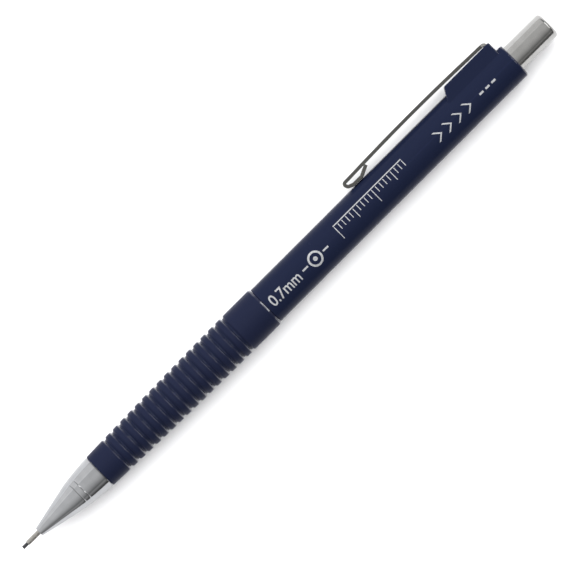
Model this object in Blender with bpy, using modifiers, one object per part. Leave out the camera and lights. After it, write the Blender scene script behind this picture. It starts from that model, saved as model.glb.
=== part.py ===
"""A mechanical drafting pencil, modelled as the separate pieces that it comes apart into.

Stations are distances along the pencil, in metres, from the point of the lead (0) towards the
push button. Nearly every piece is an outline turned about the pencil's axis, which lies along +X.
The clip is on the +Y side, and the pencil lies on the plane z = 0.
"""

import math

import bmesh
import bpy
from mathutils import Matrix

MM = 0.001

# ---- Driving dimensions -------------------------------------------------------------------

LENGTH = 141.4 * MM  # from the point of the lead to the end of the push button
SEGMENTS = 32  # sides of a turned piece
INNER_SEGMENTS = 24  # sides of the pieces inside
LEAD_SEGMENTS = 12
FIT_GAP = 0.05 * MM  # left between two faces that meet
MERGE = 1e-6  # metres; points of an outline that meet on the axis are one
CUT_REACH = 10.0 * MM  # how far a cutter reaches into open air

# Lead, and the steel sleeve that guides it
LEAD_RADIUS = 0.35 * MM
LEAD_LENGTH = 60.0 * MM
SLEEVE_FRONT = 1.24 * MM
SLEEVE_BACK = 9.2 * MM
SLEEVE_RADIUS = 0.52 * MM
SLEEVE_BORE = 0.40 * MM
SLEEVE_FIT = 0.03 * MM  # left round the sleeve in the nose cone

# Nose cone: a straight cone that curves over to nearly cylindrical, with a threaded tail
NOSE_FRONT = 4.29 * MM
NOSE_FRONT_RADIUS = 0.95 * MM
CONE_BACK = 13.2 * MM
CONE_BACK_RADIUS = 2.93 * MM
NOSE_SHOULDER = 20.6 * MM
NOSE_RADIUS = 3.73 * MM
NOSE_SHOULDER_SLOPE = 0.05
NOSE_CURVE_POINTS = 6
NOSE_HOLE_BACK = 9.4 * MM  # where the sleeve's hole opens into the retainer's chamber
THREAD_CREST = 3.20 * MM
THREAD_ROOT = 2.98 * MM
THREAD_PITCH = 0.75 * MM
THREAD_TURNS = 7
THREAD_FRONT = 21.4 * MM
TAIL_BACK = 27.6 * MM
TAIL_BORE = 2.65 * MM

# Rubber ring that holds the lead back, in its chamber in the nose cone
RETAINER_FRONT = 10.3 * MM
RETAINER_BACK = 12.5 * MM
RETAINER_RADIUS = 1.55 * MM
RETAINER_HOLE = 0.37 * MM
RETAINER_FUNNEL = 0.90 * MM  # radius of the funnel at its back
RETAINER_CHAMBER_FRONT = 10.1 * MM
RETAINER_CHAMBER = 1.60 * MM
CHUCK_CHAMBER_FRONT = 12.7 * MM
CHUCK_CHAMBER = 1.90 * MM
RING_STOP = 16.5 * MM  # the step in the nose cone that stops the clutch ring

# Chuck: a collet of three jaws on a hollow stem
CHUCK_FRONT = 17.0 * MM
CHUCK_BACK = 31.3 * MM
CHUCK_LIP_RADIUS = 1.80 * MM
CHUCK_LIP = 0.5 * MM
JAW_FRONT_RADIUS = 1.52 * MM
JAW_BACK_RADIUS = 1.42 * MM
JAW_BACK = 20.2 * MM
JAW_STEP = 0.5 * MM  # length of the slope from the jaws down to the stem
STEM_RADIUS = 1.15 * MM
JAW_BORE = 0.40 * MM
STEM_BORE = 0.60 * MM
SLOT_BACK = 25.0 * MM
SLOT_WIDTH = 0.30 * MM
JAWS = 3
JAW_OFFSET = 3.6  # degrees; keeps the slots off the edges between the chuck's flat sides

# Clutch ring round the jaws, and the brass sleeve that it sits in
RING_FRONT = 17.6 * MM
RING_BACK = 20.1 * MM
RING_RADIUS = 2.05 * MM
RING_BORE = 1.62 * MM
CLUTCH_FRONT = 17.2 * MM
CLUTCH_BACK = 34.2 * MM
CLUTCH_RADIUS = 2.60 * MM
CLUTCH_RECESS = 2.15 * MM
CLUTCH_WEB_FRONT = 20.2 * MM
CLUTCH_WEB_BACK = 21.2 * MM
CLUTCH_WEB_BORE = 1.50 * MM
CLUTCH_BORE = 2.30 * MM
CLUTCH_FLANGE_FRONT = 27.8 * MM
CLUTCH_FLANGE_BACK = 28.6 * MM
CLUTCH_FLANGE_RADIUS = 3.10 * MM

# Return spring
WIRE_RADIUS = 0.17 * MM
COIL_RADIUS = 1.95 * MM
COIL_TURNS = 8
COIL_POINTS_PER_TURN = 12
SPRING_FRONT = 21.25 * MM
SPRING_BACK = 33.95 * MM
CLOSED_END_TURNS = 1  # turns at each end that are wound close
CLOSED_PITCH = 2.3 * WIRE_RADIUS  # climb of one of those turns

# Connector between the chuck and the lead tube
CONNECTOR_FRONT = 25.5 * MM
CONNECTOR_SHOULDER = 34.0 * MM
CONNECTOR_STEP = 36.0 * MM
CONNECTOR_BACK = 40.0 * MM
CONNECTOR_RADIUS = 1.55 * MM
CONNECTOR_BORE = 1.20 * MM
CONNECTOR_BORE_BACK = 31.5 * MM
CONNECTOR_SHOULDER_RADIUS = 2.20 * MM
CONNECTOR_PLUG_RADIUS = 1.75 * MM
CONNECTOR_EDGE = 0.15 * MM
CONNECTOR_MOUTH = 1.5 * MM  # length of the funnel for leads at its back
CONNECTOR_MOUTH_WALL = 0.4 * MM

# Lead tube, and the spare leads that lie in it
TUBE_BACK = 123.0 * MM
TUBE_RADIUS = 2.15 * MM
TUBE_BORE = 1.80 * MM
SPARE_FRONTS = (44.0 * MM, 47.0 * MM, 42.0 * MM)
SPARE_ANGLES = (-32.0, 0.0, 32.0)  # degrees round the tube from its lowest line
SPARE_OFFSET = 1.38 * MM

# Eraser holder on the end of the tube, the eraser and the push button
HOLDER_FRONT = 119.0 * MM
HOLDER_BACK = 131.8 * MM
HOLDER_RADIUS = 2.45 * MM
HOLDER_SOCKET = 2.20 * MM
HOLDER_LEDGE_FRONT = 123.1 * MM
HOLDER_LEDGE_BACK = 124.4 * MM
HOLDER_LEDGE_HOLE = 1.50 * MM
HOLDER_CUP = 2.02 * MM
ERASER_FRONT = 124.6 * MM
ERASER_BACK = 139.6 * MM
ERASER_RADIUS = 1.95 * MM
ERASER_EDGE = 0.2 * MM
BUTTON_FRONT = 126.5 * MM
BUTTON_RADIUS = 2.80 * MM
BUTTON_BORE = 2.50 * MM
BUTTON_END_WALL = 0.6 * MM
BUTTON_EDGE = 0.55 * MM  # radius of the rounded edge at its end
BUTTON_EDGE_STEPS = 3

# Ribbed grip
GRIP_BACK = 65.2 * MM
GRIP_RADIUS = 4.45 * MM
GRIP_FRONT_RADIUS = 3.77 * MM
GRIP_TAPER_FRONT = 21.7 * MM
GRIP_TAPER_BACK = 55.0 * MM
GRIP_TAPER_POWER = 1.5
GRIP_FRONT_EDGE = 0.30 * MM
GRIP_BACK_CHAMFER = 0.25 * MM
GROOVES = 17
GROOVE_FIRST = 25.58 * MM
GROOVE_PITCH = 2.004 * MM
GROOVE_MOUTH = 0.75 * MM
GROOVE_FLOOR = 0.30 * MM
GROOVE_DEPTH = 0.38 * MM
GRIP_THREAD_BORE = 3.27 * MM
GRIP_STEP = 28.7 * MM
GRIP_BORE = 2.75 * MM
SOCKET_FRONT = 55.9 * MM
SOCKET_RADIUS = 3.62 * MM

# Barrel, with its saddle for the clip
BARREL_FRONT = 56.0 * MM
BARREL_BACK = 131.9 * MM
BARREL_RADIUS = 4.16 * MM
BARREL_BORE = 3.00 * MM
TENON_RADIUS = 3.56 * MM
BARREL_FRONT_EDGE = 0.15 * MM
BARREL_BACK_EDGE = 0.35 * MM
SADDLE_FRONT = 117.85 * MM
SADDLE_BACK = 130.6 * MM
SADDLE_SPARE = 0.5 * MM  # length that the flat behind it cuts off again
SADDLE_SLOPE = 0.85 * MM  # how far its slanted front face leans back
SADDLE_WIDTH = 6.5 * MM
SADDLE_TOP = 5.53 * MM  # above the axis
SADDLE_BOTTOM = 1.5 * MM
SADDLE_EDGE = 0.25 * MM
REAR_FLAT = 3.36 * MM  # height of the flat behind the saddle, above the axis
SLOT_FRONT = 129.40 * MM
SLOT_END = 130.28 * MM
SLOT_HALF_WIDTH = 2.25 * MM
SLOT_FLOOR = 3.75 * MM

# Clip: one bent strip of spring steel
CLIP_THICKNESS = 0.56 * MM
CLIP_ROOT_WIDTH = 4.2 * MM
CLIP_TIP_WIDTH = 3.6 * MM
CLIP_HEIGHT = 6.07 * MM  # of the strip's middle above the axis, at its two ends
CLIP_BOW = 0.34 * MM
CLIP_SPAN_STEPS = 14
CLIP_TAIL = 129.85 * MM
CLIP_TAIL_FOOT = 4.0 * MM
CLIP_BEND = 0.55 * MM
CLIP_BEND_STEPS = 4
CLIP_FOLD = 92.95 * MM
CLIP_FOLD_RADIUS = 0.78 * MM
CLIP_FOLD_STEPS = 8
CLIP_SOLE_BACK = 95.5 * MM
CLIP_TOE_RADIUS = 4.0 * MM
CLIP_TOE_ANGLE = 40.0
CLIP_TOE_STEPS = 4
CLIP_PIVOT_HEIGHT = 4.9 * MM

# ---- Where the pencil lies ----------------------------------------------------------------

HALF_SIDE = math.pi / SEGMENTS
CLIP_OUTSIDE = CLIP_HEIGHT + CLIP_BOW + CLIP_THICKNESS / 2
AXIS_Z = GRIP_RADIUS * math.cos(HALF_SIDE)
AXIS_Y = (AXIS_Z - CLIP_OUTSIDE) / 2


def along(station):
    """World x of a station on the pencil."""
    return station - LENGTH / 2


# ---- Materials ----------------------------------------------------------------------------


def material(name, color, roughness, metallic=0.0):
    """A plain Principled BSDF material."""
    made = bpy.data.materials.new(name)
    made.use_nodes = True
    shader = made.node_tree.nodes["Principled BSDF"]
    shader.inputs["Base Color"].default_value = (*color, 1.0)
    shader.inputs["Roughness"].default_value = roughness
    shader.inputs["Metallic"].default_value = metallic
    made.diffuse_color = (*color, 1.0)
    return made


# ---- Modelling helpers --------------------------------------------------------------------


def clear_scene():
    """Remove what a new Blender file starts with."""
    for item in list(bpy.data.objects):
        bpy.data.objects.remove(item, do_unlink=True)


def new_collection(name):
    made = bpy.data.collections.new(name)
    bpy.context.scene.collection.children.link(made)
    return made


def add_object(name, data, collection, parent=None):
    made = bpy.data.objects.new(name, data)
    made.parent = parent
    collection.objects.link(made)
    return made


def turned(name, outer, inner, finish, segments=SEGMENTS):
    """Spin an outline about the pencil's axis.

    outer and inner are lists of (station, radius) from front to back. A piece that is closed
    on its axis at both ends has outlines that reach radius 0 there, and a tube has a closed loop.
    """
    points = list(reversed(outer)) + list(inner)
    edges = [(i, i + 1) for i in range(len(points) - 1)]
    if points[0][1] > 0:
        edges.append((len(points) - 1, 0))
    mesh = bpy.data.meshes.new(name)
    mesh.from_pydata([(radius, 0.0, station) for station, radius in points], edges, [])
    piece = add_object(name, mesh, parts, axis)
    piece.data.materials.append(finish)
    spin = piece.modifiers.new("turn", "SCREW")
    spin.axis = "Z"
    spin.angle = 2 * math.pi
    spin.steps = segments
    spin.render_steps = segments
    spin.use_merge_vertices = True
    spin.merge_threshold = MERGE
    return piece


def box(name, low, high, collection):
    """A box between two corners given as (station, y above the axis, z above the axis)."""
    mesh = bpy.data.meshes.new(name)
    shape = bmesh.new()
    bmesh.ops.create_cube(shape, size=1.0)
    size = [b - a for a, b in zip(low, high)]
    middle = [(a + b) / 2 for a, b in zip(low, high)]
    bmesh.ops.scale(shape, vec=size, verts=shape.verts)
    place = (along(middle[0]), AXIS_Y + middle[1], AXIS_Z + middle[2])
    shape.to_mesh(mesh)
    shape.free()
    made = add_object(name, mesh, collection)
    made.location = place
    return made


def as_cutter(shape):
    """Mark an object as a tool that isn't part of the pencil."""
    shape.hide_render = True
    shape.display_type = "WIRE"
    return shape


def combine(piece, tool, operation):
    """Join a tool to a piece, or cut it away."""
    step = piece.modifiers.new(tool.name, "BOOLEAN")
    step.operation = operation
    step.solver = "EXACT"
    step.object = as_cutter(tool)


def arc(centre, radius, start, end, steps):
    """Points on an arc in the plane of station and height; angles in degrees."""
    angles = [math.radians(start + (end - start) * i / steps) for i in range(steps + 1)]
    return [(centre[0] + radius * math.cos(a), centre[1] + radius * math.sin(a)) for a in angles]


# ---- Lead, sleeve and nose ----------------------------------------------------------------


def plain_rod(name, front, back, radius, finish, edge=0.0, segments=SEGMENTS):
    """A solid rod with an optional chamfer at both ends."""
    outline = [(front, 0.0), (front, radius - edge)]
    if edge:
        outline += [(front + edge, radius), (back - edge, radius)]
    outline += [(back, radius - edge), (back, 0.0)]
    return turned(name, outline, [], finish, segments)


def plain_tube(name, front, back, radius, bore, finish, segments=SEGMENTS):
    outer = [(front, radius), (back, radius)]
    return turned(name, outer, [(front, bore), (back, bore)], finish, segments)


def make_leads(finish):
    """The lead in the chuck, and the spare ones lying at the bottom of the tube."""
    plain_rod("lead", 0.0, LEAD_LENGTH, LEAD_RADIUS, finish, segments=LEAD_SEGMENTS)
    for number, (front, angle) in enumerate(zip(SPARE_FRONTS, SPARE_ANGLES), start=1):
        name = f"spare_lead_{number}"
        spare = plain_rod(name, front, front + LEAD_LENGTH, LEAD_RADIUS, finish, segments=LEAD_SEGMENTS)
        # the axis empty's local +X points down, so the offset starts from the tube's lowest line
        turn = math.radians(angle) - HALF_SIDE
        spare.location = (SPARE_OFFSET * math.cos(turn), SPARE_OFFSET * math.sin(turn), 0.0)


def nose_surface():
    """The nose cone's visible outline: a straight cone, then a curve that levels out."""
    slope = (CONE_BACK_RADIUS - NOSE_FRONT_RADIUS) / (CONE_BACK - NOSE_FRONT)
    # the curve's handle is where the cone's line meets the line through the shoulder
    rise = NOSE_RADIUS - CONE_BACK_RADIUS - NOSE_SHOULDER_SLOPE * (NOSE_SHOULDER - CONE_BACK)
    reach = rise / (slope - NOSE_SHOULDER_SLOPE)
    handle = (CONE_BACK + reach, CONE_BACK_RADIUS + slope * reach)
    points = [(NOSE_FRONT, NOSE_FRONT_RADIUS)]
    for i in range(NOSE_CURVE_POINTS + 1):
        t = i / NOSE_CURVE_POINTS
        weights = ((1 - t) ** 2, 2 * t * (1 - t), t**2)
        station = weights[0] * CONE_BACK + weights[1] * handle[0] + weights[2] * NOSE_SHOULDER
        radius = weights[0] * CONE_BACK_RADIUS + weights[1] * handle[1] + weights[2] * NOSE_RADIUS
        points.append((station, radius))
    return points


def make_nose_cone(finish):
    outer = nose_surface()
    outer += [(NOSE_SHOULDER, THREAD_ROOT)]
    for turn in range(THREAD_TURNS + 1):
        station = THREAD_FRONT + turn * THREAD_PITCH
        outer.append((station, THREAD_ROOT))
        outer.append((station + THREAD_PITCH / 2, THREAD_CREST))
    outer += [(TAIL_BACK, THREAD_ROOT)]
    sleeve_hole = SLEEVE_RADIUS + SLEEVE_FIT
    bore = [
        (NOSE_FRONT, sleeve_hole),
        (NOSE_HOLE_BACK, sleeve_hole),
        (RETAINER_CHAMBER_FRONT, RETAINER_CHAMBER),
        (CHUCK_CHAMBER_FRONT, RETAINER_CHAMBER),
        (CHUCK_CHAMBER_FRONT, CHUCK_CHAMBER),
        (RING_STOP, CHUCK_CHAMBER),
        (RING_STOP, TAIL_BORE),
        (TAIL_BACK, TAIL_BORE),
    ]
    turned("nose_cone", outer, bore, finish)


def make_nose_inside(steel, rubber):
    plain_tube("lead_sleeve", SLEEVE_FRONT, SLEEVE_BACK, SLEEVE_RADIUS, SLEEVE_BORE, steel, LEAD_SEGMENTS * 2)
    outer = [(RETAINER_FRONT, RETAINER_RADIUS), (RETAINER_BACK, RETAINER_RADIUS)]
    funnel_front = (RETAINER_FRONT + RETAINER_BACK) / 2
    bore = [(RETAINER_FRONT, RETAINER_HOLE), (funnel_front, RETAINER_HOLE), (RETAINER_BACK, RETAINER_FUNNEL)]
    turned("lead_retainer", outer, bore, rubber, INNER_SEGMENTS)


# ---- Mechanism ----------------------------------------------------------------------------


def make_chuck(finish):
    lip_back = CHUCK_FRONT + CHUCK_LIP
    outer = [
        (CHUCK_FRONT, JAW_FRONT_RADIUS),
        (CHUCK_FRONT + CHUCK_LIP / 2, CHUCK_LIP_RADIUS),
        (lip_back, CHUCK_LIP_RADIUS),
        (lip_back, JAW_FRONT_RADIUS),
        (JAW_BACK, JAW_BACK_RADIUS),
        (JAW_BACK + JAW_STEP, STEM_RADIUS),
        (CHUCK_BACK, STEM_RADIUS),
    ]
    bore = [
        (CHUCK_FRONT, JAW_BORE),
        (JAW_BACK, JAW_BORE),
        (JAW_BACK + JAW_STEP, STEM_BORE),
        (CHUCK_BACK, STEM_BORE),
    ]
    chuck = turned("chuck", outer, bore, finish, INNER_SEGMENTS)
    low = (CHUCK_FRONT - CUT_REACH, -SLOT_WIDTH / 2, 0.0)
    high = (SLOT_BACK, SLOT_WIDTH / 2, CUT_REACH)
    for jaw in range(JAWS):
        slot = box(f"jaw_slot_{jaw + 1}", low, high, cutters)
        # the slot's mesh is moved so that its origin is on the pencil's axis, and then turned round it
        middle = slot.location.copy()
        slot.location = (0.0, AXIS_Y, AXIS_Z)
        slot.data.transform(Matrix.Translation(middle - slot.location))
        slot.rotation_euler = (2 * math.pi * jaw / JAWS + math.radians(JAW_OFFSET), 0.0, 0.0)
        combine(chuck, slot, "DIFFERENCE")


def make_clutch(finish):
    plain_tube("clutch_ring", RING_FRONT, RING_BACK, RING_RADIUS, RING_BORE, finish, INNER_SEGMENTS)
    outer = [
        (CLUTCH_FRONT, CLUTCH_RADIUS),
        (CLUTCH_FLANGE_FRONT, CLUTCH_RADIUS),
        (CLUTCH_FLANGE_FRONT, CLUTCH_FLANGE_RADIUS),
        (CLUTCH_FLANGE_BACK, CLUTCH_FLANGE_RADIUS),
        (CLUTCH_FLANGE_BACK, CLUTCH_RADIUS),
        (CLUTCH_BACK, CLUTCH_RADIUS),
    ]
    bore = [
        (CLUTCH_FRONT, CLUTCH_RECESS),
        (CLUTCH_WEB_FRONT, CLUTCH_RECESS),
        (CLUTCH_WEB_FRONT, CLUTCH_WEB_BORE),
        (CLUTCH_WEB_BACK, CLUTCH_WEB_BORE),
        (CLUTCH_WEB_BACK, CLUTCH_BORE),
        (CLUTCH_BACK, CLUTCH_BORE),
    ]
    turned("clutch_sleeve", outer, bore, finish, INNER_SEGMENTS)


def make_spring(finish):
    """A compression spring with closed ends, as a wire along a helix."""
    curve = bpy.data.curves.new("return_spring", "CURVE")
    curve.dimensions = "3D"
    curve.bevel_depth = WIRE_RADIUS
    curve.bevel_resolution = 2
    curve.use_fill_caps = True
    steps = COIL_TURNS * COIL_POINTS_PER_TURN
    closed = CLOSED_END_TURNS * COIL_POINTS_PER_TURN
    end_rise = CLOSED_PITCH * CLOSED_END_TURNS
    front = SPRING_FRONT + WIRE_RADIUS
    back = SPRING_BACK - WIRE_RADIUS
    path = curve.splines.new("POLY")
    path.points.add(steps)
    for i in range(steps + 1):
        turn = 2 * math.pi * i / COIL_POINTS_PER_TURN
        if i <= closed:
            station = front + end_rise * i / closed
        elif i >= steps - closed:
            station = back - end_rise * (steps - i) / closed
        else:
            share = (i - closed) / (steps - 2 * closed)
            station = front + end_rise + (back - front - 2 * end_rise) * share
        path.points[i].co = (COIL_RADIUS * math.cos(turn), COIL_RADIUS * math.sin(turn), station, 1.0)
    add_object("return_spring", curve, parts, axis)
    curve.materials.append(finish)


def make_connector(finish):
    outer = [
        (CONNECTOR_FRONT, CONNECTOR_RADIUS - CONNECTOR_EDGE),
        (CONNECTOR_FRONT + CONNECTOR_EDGE, CONNECTOR_RADIUS),
        (CONNECTOR_SHOULDER, CONNECTOR_RADIUS),
        (CONNECTOR_SHOULDER, CONNECTOR_SHOULDER_RADIUS),
        (CONNECTOR_STEP, CONNECTOR_SHOULDER_RADIUS),
        (CONNECTOR_STEP, CONNECTOR_PLUG_RADIUS),
        (CONNECTOR_BACK, CONNECTOR_PLUG_RADIUS),
    ]
    bore = [
        (CONNECTOR_FRONT, CONNECTOR_BORE),
        (CONNECTOR_BORE_BACK, CONNECTOR_BORE),
        (CONNECTOR_BORE_BACK, STEM_BORE),
        (CONNECTOR_BACK - CONNECTOR_MOUTH, STEM_BORE),
        (CONNECTOR_BACK, CONNECTOR_PLUG_RADIUS - CONNECTOR_MOUTH_WALL),
    ]
    turned("chuck_connector", outer, bore, finish, INNER_SEGMENTS)


# ---- Button end ---------------------------------------------------------------------------


def make_holder(finish):
    outer = [(HOLDER_FRONT, HOLDER_RADIUS), (HOLDER_BACK, HOLDER_RADIUS)]
    bore = [
        (HOLDER_FRONT, HOLDER_SOCKET),
        (HOLDER_LEDGE_FRONT, HOLDER_SOCKET),
        (HOLDER_LEDGE_FRONT, HOLDER_LEDGE_HOLE),
        (HOLDER_LEDGE_BACK, HOLDER_LEDGE_HOLE),
        (HOLDER_LEDGE_BACK, HOLDER_CUP),
        (HOLDER_BACK, HOLDER_CUP),
    ]
    turned("eraser_holder", outer, bore, finish, INNER_SEGMENTS)


def make_button(finish):
    """A drawn steel cap, open at the front."""
    edge_centre = (LENGTH - BUTTON_EDGE, BUTTON_RADIUS - BUTTON_EDGE)
    outer = [(BUTTON_FRONT, BUTTON_RADIUS)]
    outer += arc(edge_centre, BUTTON_EDGE, 90, 0, BUTTON_EDGE_STEPS)
    outer.append((LENGTH, 0.0))
    floor = LENGTH - BUTTON_END_WALL
    inner = [(BUTTON_FRONT, BUTTON_BORE), (floor, BUTTON_BORE), (floor, 0.0)]
    turned("push_button", outer, inner, finish)


# ---- Grip and barrel ----------------------------------------------------------------------


def grip_surface(station):
    """Radius of the grip over its ribs."""
    share = (GRIP_TAPER_BACK - station) / (GRIP_TAPER_BACK - GRIP_TAPER_FRONT)
    if share <= 0:
        return GRIP_RADIUS
    return GRIP_RADIUS - (GRIP_RADIUS - GRIP_FRONT_RADIUS) * share**GRIP_TAPER_POWER


def make_grip(finish):
    front = NOSE_SHOULDER + FIT_GAP
    front_radius = grip_surface(front)
    outer = [(front, front_radius - GRIP_FRONT_EDGE), (front + GRIP_FRONT_EDGE, front_radius)]
    for number in range(GROOVES):
        middle = GROOVE_FIRST + number * GROOVE_PITCH
        floor_radius = grip_surface(middle) - GROOVE_DEPTH
        before = middle - GROOVE_MOUTH / 2
        after = middle + GROOVE_MOUTH / 2
        outer.append((before, grip_surface(before)))
        outer.append((middle - GROOVE_FLOOR / 2, floor_radius))
        outer.append((middle + GROOVE_FLOOR / 2, floor_radius))
        outer.append((after, grip_surface(after)))
    outer.append((GRIP_BACK - GRIP_BACK_CHAMFER, GRIP_RADIUS))
    outer.append((GRIP_BACK, GRIP_RADIUS - GRIP_BACK_CHAMFER))
    bore = [
        (front, GRIP_THREAD_BORE),
        (GRIP_STEP, GRIP_THREAD_BORE),
        (GRIP_STEP, GRIP_BORE),
        (SOCKET_FRONT, GRIP_BORE),
        (SOCKET_FRONT, SOCKET_RADIUS),
        (GRIP_BACK, SOCKET_RADIUS),
    ]
    turned("grip", outer, bore, finish)


def make_saddle():
    """The block on the barrel that the clip is anchored in."""
    side = SADDLE_WIDTH / 2
    past_back = SADDLE_BACK + SADDLE_SPARE
    saddle = box("saddle", (SADDLE_FRONT, SADDLE_BOTTOM, -side), (past_back, SADDLE_TOP, side), cutters)
    shape = bmesh.new()
    shape.from_mesh(saddle.data)
    slope_per_height = SADDLE_SLOPE / (SADDLE_TOP - BARREL_RADIUS)
    for vert in shape.verts:
        if vert.co.x < 0:
            height = vert.co.y + (SADDLE_TOP + SADDLE_BOTTOM) / 2
            vert.co.x += slope_per_height * (height - BARREL_RADIUS)
    shape.to_mesh(saddle.data)
    shape.free()
    bevel = saddle.modifiers.new("edges", "BEVEL")
    bevel.width = SADDLE_EDGE
    bevel.segments = 1
    return saddle


def make_barrel(finish):
    shoulder = GRIP_BACK + FIT_GAP
    solid = [
        (BARREL_FRONT, 0.0),
        (BARREL_FRONT, TENON_RADIUS),
        (shoulder, TENON_RADIUS),
        (shoulder, BARREL_RADIUS - BARREL_FRONT_EDGE),
        (shoulder + BARREL_FRONT_EDGE, BARREL_RADIUS),
        (BARREL_BACK - BARREL_BACK_EDGE, BARREL_RADIUS),
        (BARREL_BACK, BARREL_RADIUS - BARREL_BACK_EDGE),
        (BARREL_BACK, 0.0),
    ]
    barrel = turned("barrel", solid, [], finish)
    combine(barrel, make_saddle(), "UNION")
    bore_mesh = bpy.data.meshes.new("barrel_bore")
    shape = bmesh.new()
    bmesh.ops.create_cone(
        shape,
        cap_ends=True,
        segments=SEGMENTS,
        radius1=BARREL_BORE,
        radius2=BARREL_BORE,
        depth=BARREL_BACK - BARREL_FRONT + CUT_REACH,
    )
    shape.to_mesh(bore_mesh)
    shape.free()
    bore = add_object("barrel_bore", bore_mesh, cutters, axis)
    bore.location.z = (BARREL_FRONT + BARREL_BACK) / 2
    combine(barrel, bore, "DIFFERENCE")
    flat_low = (SADDLE_BACK, REAR_FLAT, -CUT_REACH)
    flat = box("rear_flat", flat_low, (BARREL_BACK + CUT_REACH, CUT_REACH, CUT_REACH), cutters)
    combine(barrel, flat, "DIFFERENCE")
    slot_low = (SLOT_FRONT, SLOT_FLOOR, -SLOT_HALF_WIDTH)
    slot = box("clip_slot", slot_low, (SLOT_END, CUT_REACH, SLOT_HALF_WIDTH), cutters)
    combine(barrel, slot, "DIFFERENCE")


# ---- Clip ---------------------------------------------------------------------------------


def clip_path():
    """Middle line of the clip's strip as (station, height above the axis), from its tail to its toe."""
    bend_centre = (CLIP_TAIL - CLIP_BEND, CLIP_HEIGHT - CLIP_BEND)
    path = [(CLIP_TAIL, CLIP_TAIL_FOOT)]
    path += arc(bend_centre, CLIP_BEND, 0, 90, CLIP_BEND_STEPS)
    span_start = path[-1][0]
    for i in range(1, CLIP_SPAN_STEPS):
        share = i / CLIP_SPAN_STEPS
        station = span_start + (CLIP_FOLD - span_start) * share
        path.append((station, CLIP_HEIGHT + CLIP_BOW * math.sin(math.pi * share)))
    fold_centre = (CLIP_FOLD, CLIP_HEIGHT - CLIP_FOLD_RADIUS)
    path += arc(fold_centre, CLIP_FOLD_RADIUS, 90, 270, CLIP_FOLD_STEPS)
    sole = CLIP_HEIGHT - 2 * CLIP_FOLD_RADIUS
    toe_centre = (CLIP_SOLE_BACK, sole + CLIP_TOE_RADIUS)
    path += arc(toe_centre, CLIP_TOE_RADIUS, 270, 270 + CLIP_TOE_ANGLE, CLIP_TOE_STEPS)
    return path


def make_clip(finish):
    mesh = bpy.data.meshes.new("clip")
    shape = bmesh.new()
    previous = None
    for station, height in clip_path():
        vert = shape.verts.new((station - CLIP_TAIL, height - CLIP_PIVOT_HEIGHT, 0.0))
        if previous:
            shape.edges.new((previous, vert))
        previous = vert
    swept = bmesh.ops.extrude_edge_only(shape, edges=shape.edges[:])
    far_side = [item for item in swept["geom"] if isinstance(item, bmesh.types.BMVert)]
    near_side = [vert for vert in shape.verts if vert not in far_side]
    length = CLIP_TAIL - CLIP_FOLD
    for side, verts in ((1, far_side), (-1, near_side)):
        for vert in verts:
            share = min(1.0, -vert.co.x / length)
            vert.co.z = side * (CLIP_ROOT_WIDTH + (CLIP_TIP_WIDTH - CLIP_ROOT_WIDTH) * share) / 2
    shape.to_mesh(mesh)
    shape.free()
    clip = add_object("clip", mesh, parts)
    clip.location = (along(CLIP_TAIL), AXIS_Y + CLIP_PIVOT_HEIGHT, AXIS_Z)
    clip.data.materials.append(finish)
    sheet = clip.modifiers.new("sheet", "SOLIDIFY")
    sheet.thickness = CLIP_THICKNESS
    sheet.offset = 0.0
    sheet.use_even_offset = True


# ---- The pencil ---------------------------------------------------------------------------

clear_scene()
parts = new_collection("mechanical_pencil")
cutters = new_collection("cutters")

# An empty whose local Z is the pencil's axis. It is turned by half a side, so that turned pieces
# have a flat side, and not an edge, underneath.
axis = add_object("pencil_axis", None, parts)
axis.location = (along(0.0), AXIS_Y, AXIS_Z)
axis.rotation_euler = (Matrix.Rotation(math.pi / 2, 3, "Y") @ Matrix.Rotation(HALF_SIDE, 3, "Z")).to_euler()

navy = material("navy_plastic", (0.018, 0.022, 0.060), 0.22)
polished = material("polished_steel", (0.62, 0.63, 0.66), 0.12, 1.0)
satin = material("satin_steel", (0.42, 0.41, 0.40), 0.28, 1.0)
sprung = material("spring_steel", (0.50, 0.49, 0.46), 0.22, 1.0)
brass = material("brass", (0.70, 0.50, 0.20), 0.25, 1.0)
graphite = material("graphite", (0.035, 0.035, 0.038), 0.35)
seal = material("retainer_rubber", (0.03, 0.03, 0.03), 0.6)
clear_plastic = material("tube_plastic", (0.55, 0.57, 0.60), 0.35)
acetal = material("connector_plastic", (0.65, 0.65, 0.62), 0.4)
vinyl = material("eraser_vinyl", (0.80, 0.80, 0.78), 0.6)

make_leads(graphite)
make_nose_inside(satin, seal)
make_nose_cone(polished)
make_chuck(brass)
make_clutch(brass)
make_spring(sprung)
make_connector(acetal)
tube_front = CONNECTOR_STEP + FIT_GAP
plain_tube("lead_tube", tube_front, TUBE_BACK, TUBE_RADIUS, TUBE_BORE, clear_plastic, INNER_SEGMENTS)
make_holder(brass)
plain_rod("eraser", ERASER_FRONT, ERASER_BACK, ERASER_RADIUS, vinyl, ERASER_EDGE, INNER_SEGMENTS)
make_button(polished)
make_grip(navy)
make_barrel(navy)
make_clip(sprung)
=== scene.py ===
# %% [markdown]
# # A mechanical drafting pencil, modelled and finished
#
# A mechanical pencil is a stack of small turned pieces on one axis: a steel point, a ribbed
# plastic grip, a plastic barrel and a steel cap that is pressed to feed the lead. The engineering
# model fixes where every piece is and how it moves. This lesson makes the pieces that are seen,
# with rounded edges, real wall thicknesses and surfaces that catch the light.

# %% Load the frame
import math

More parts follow.
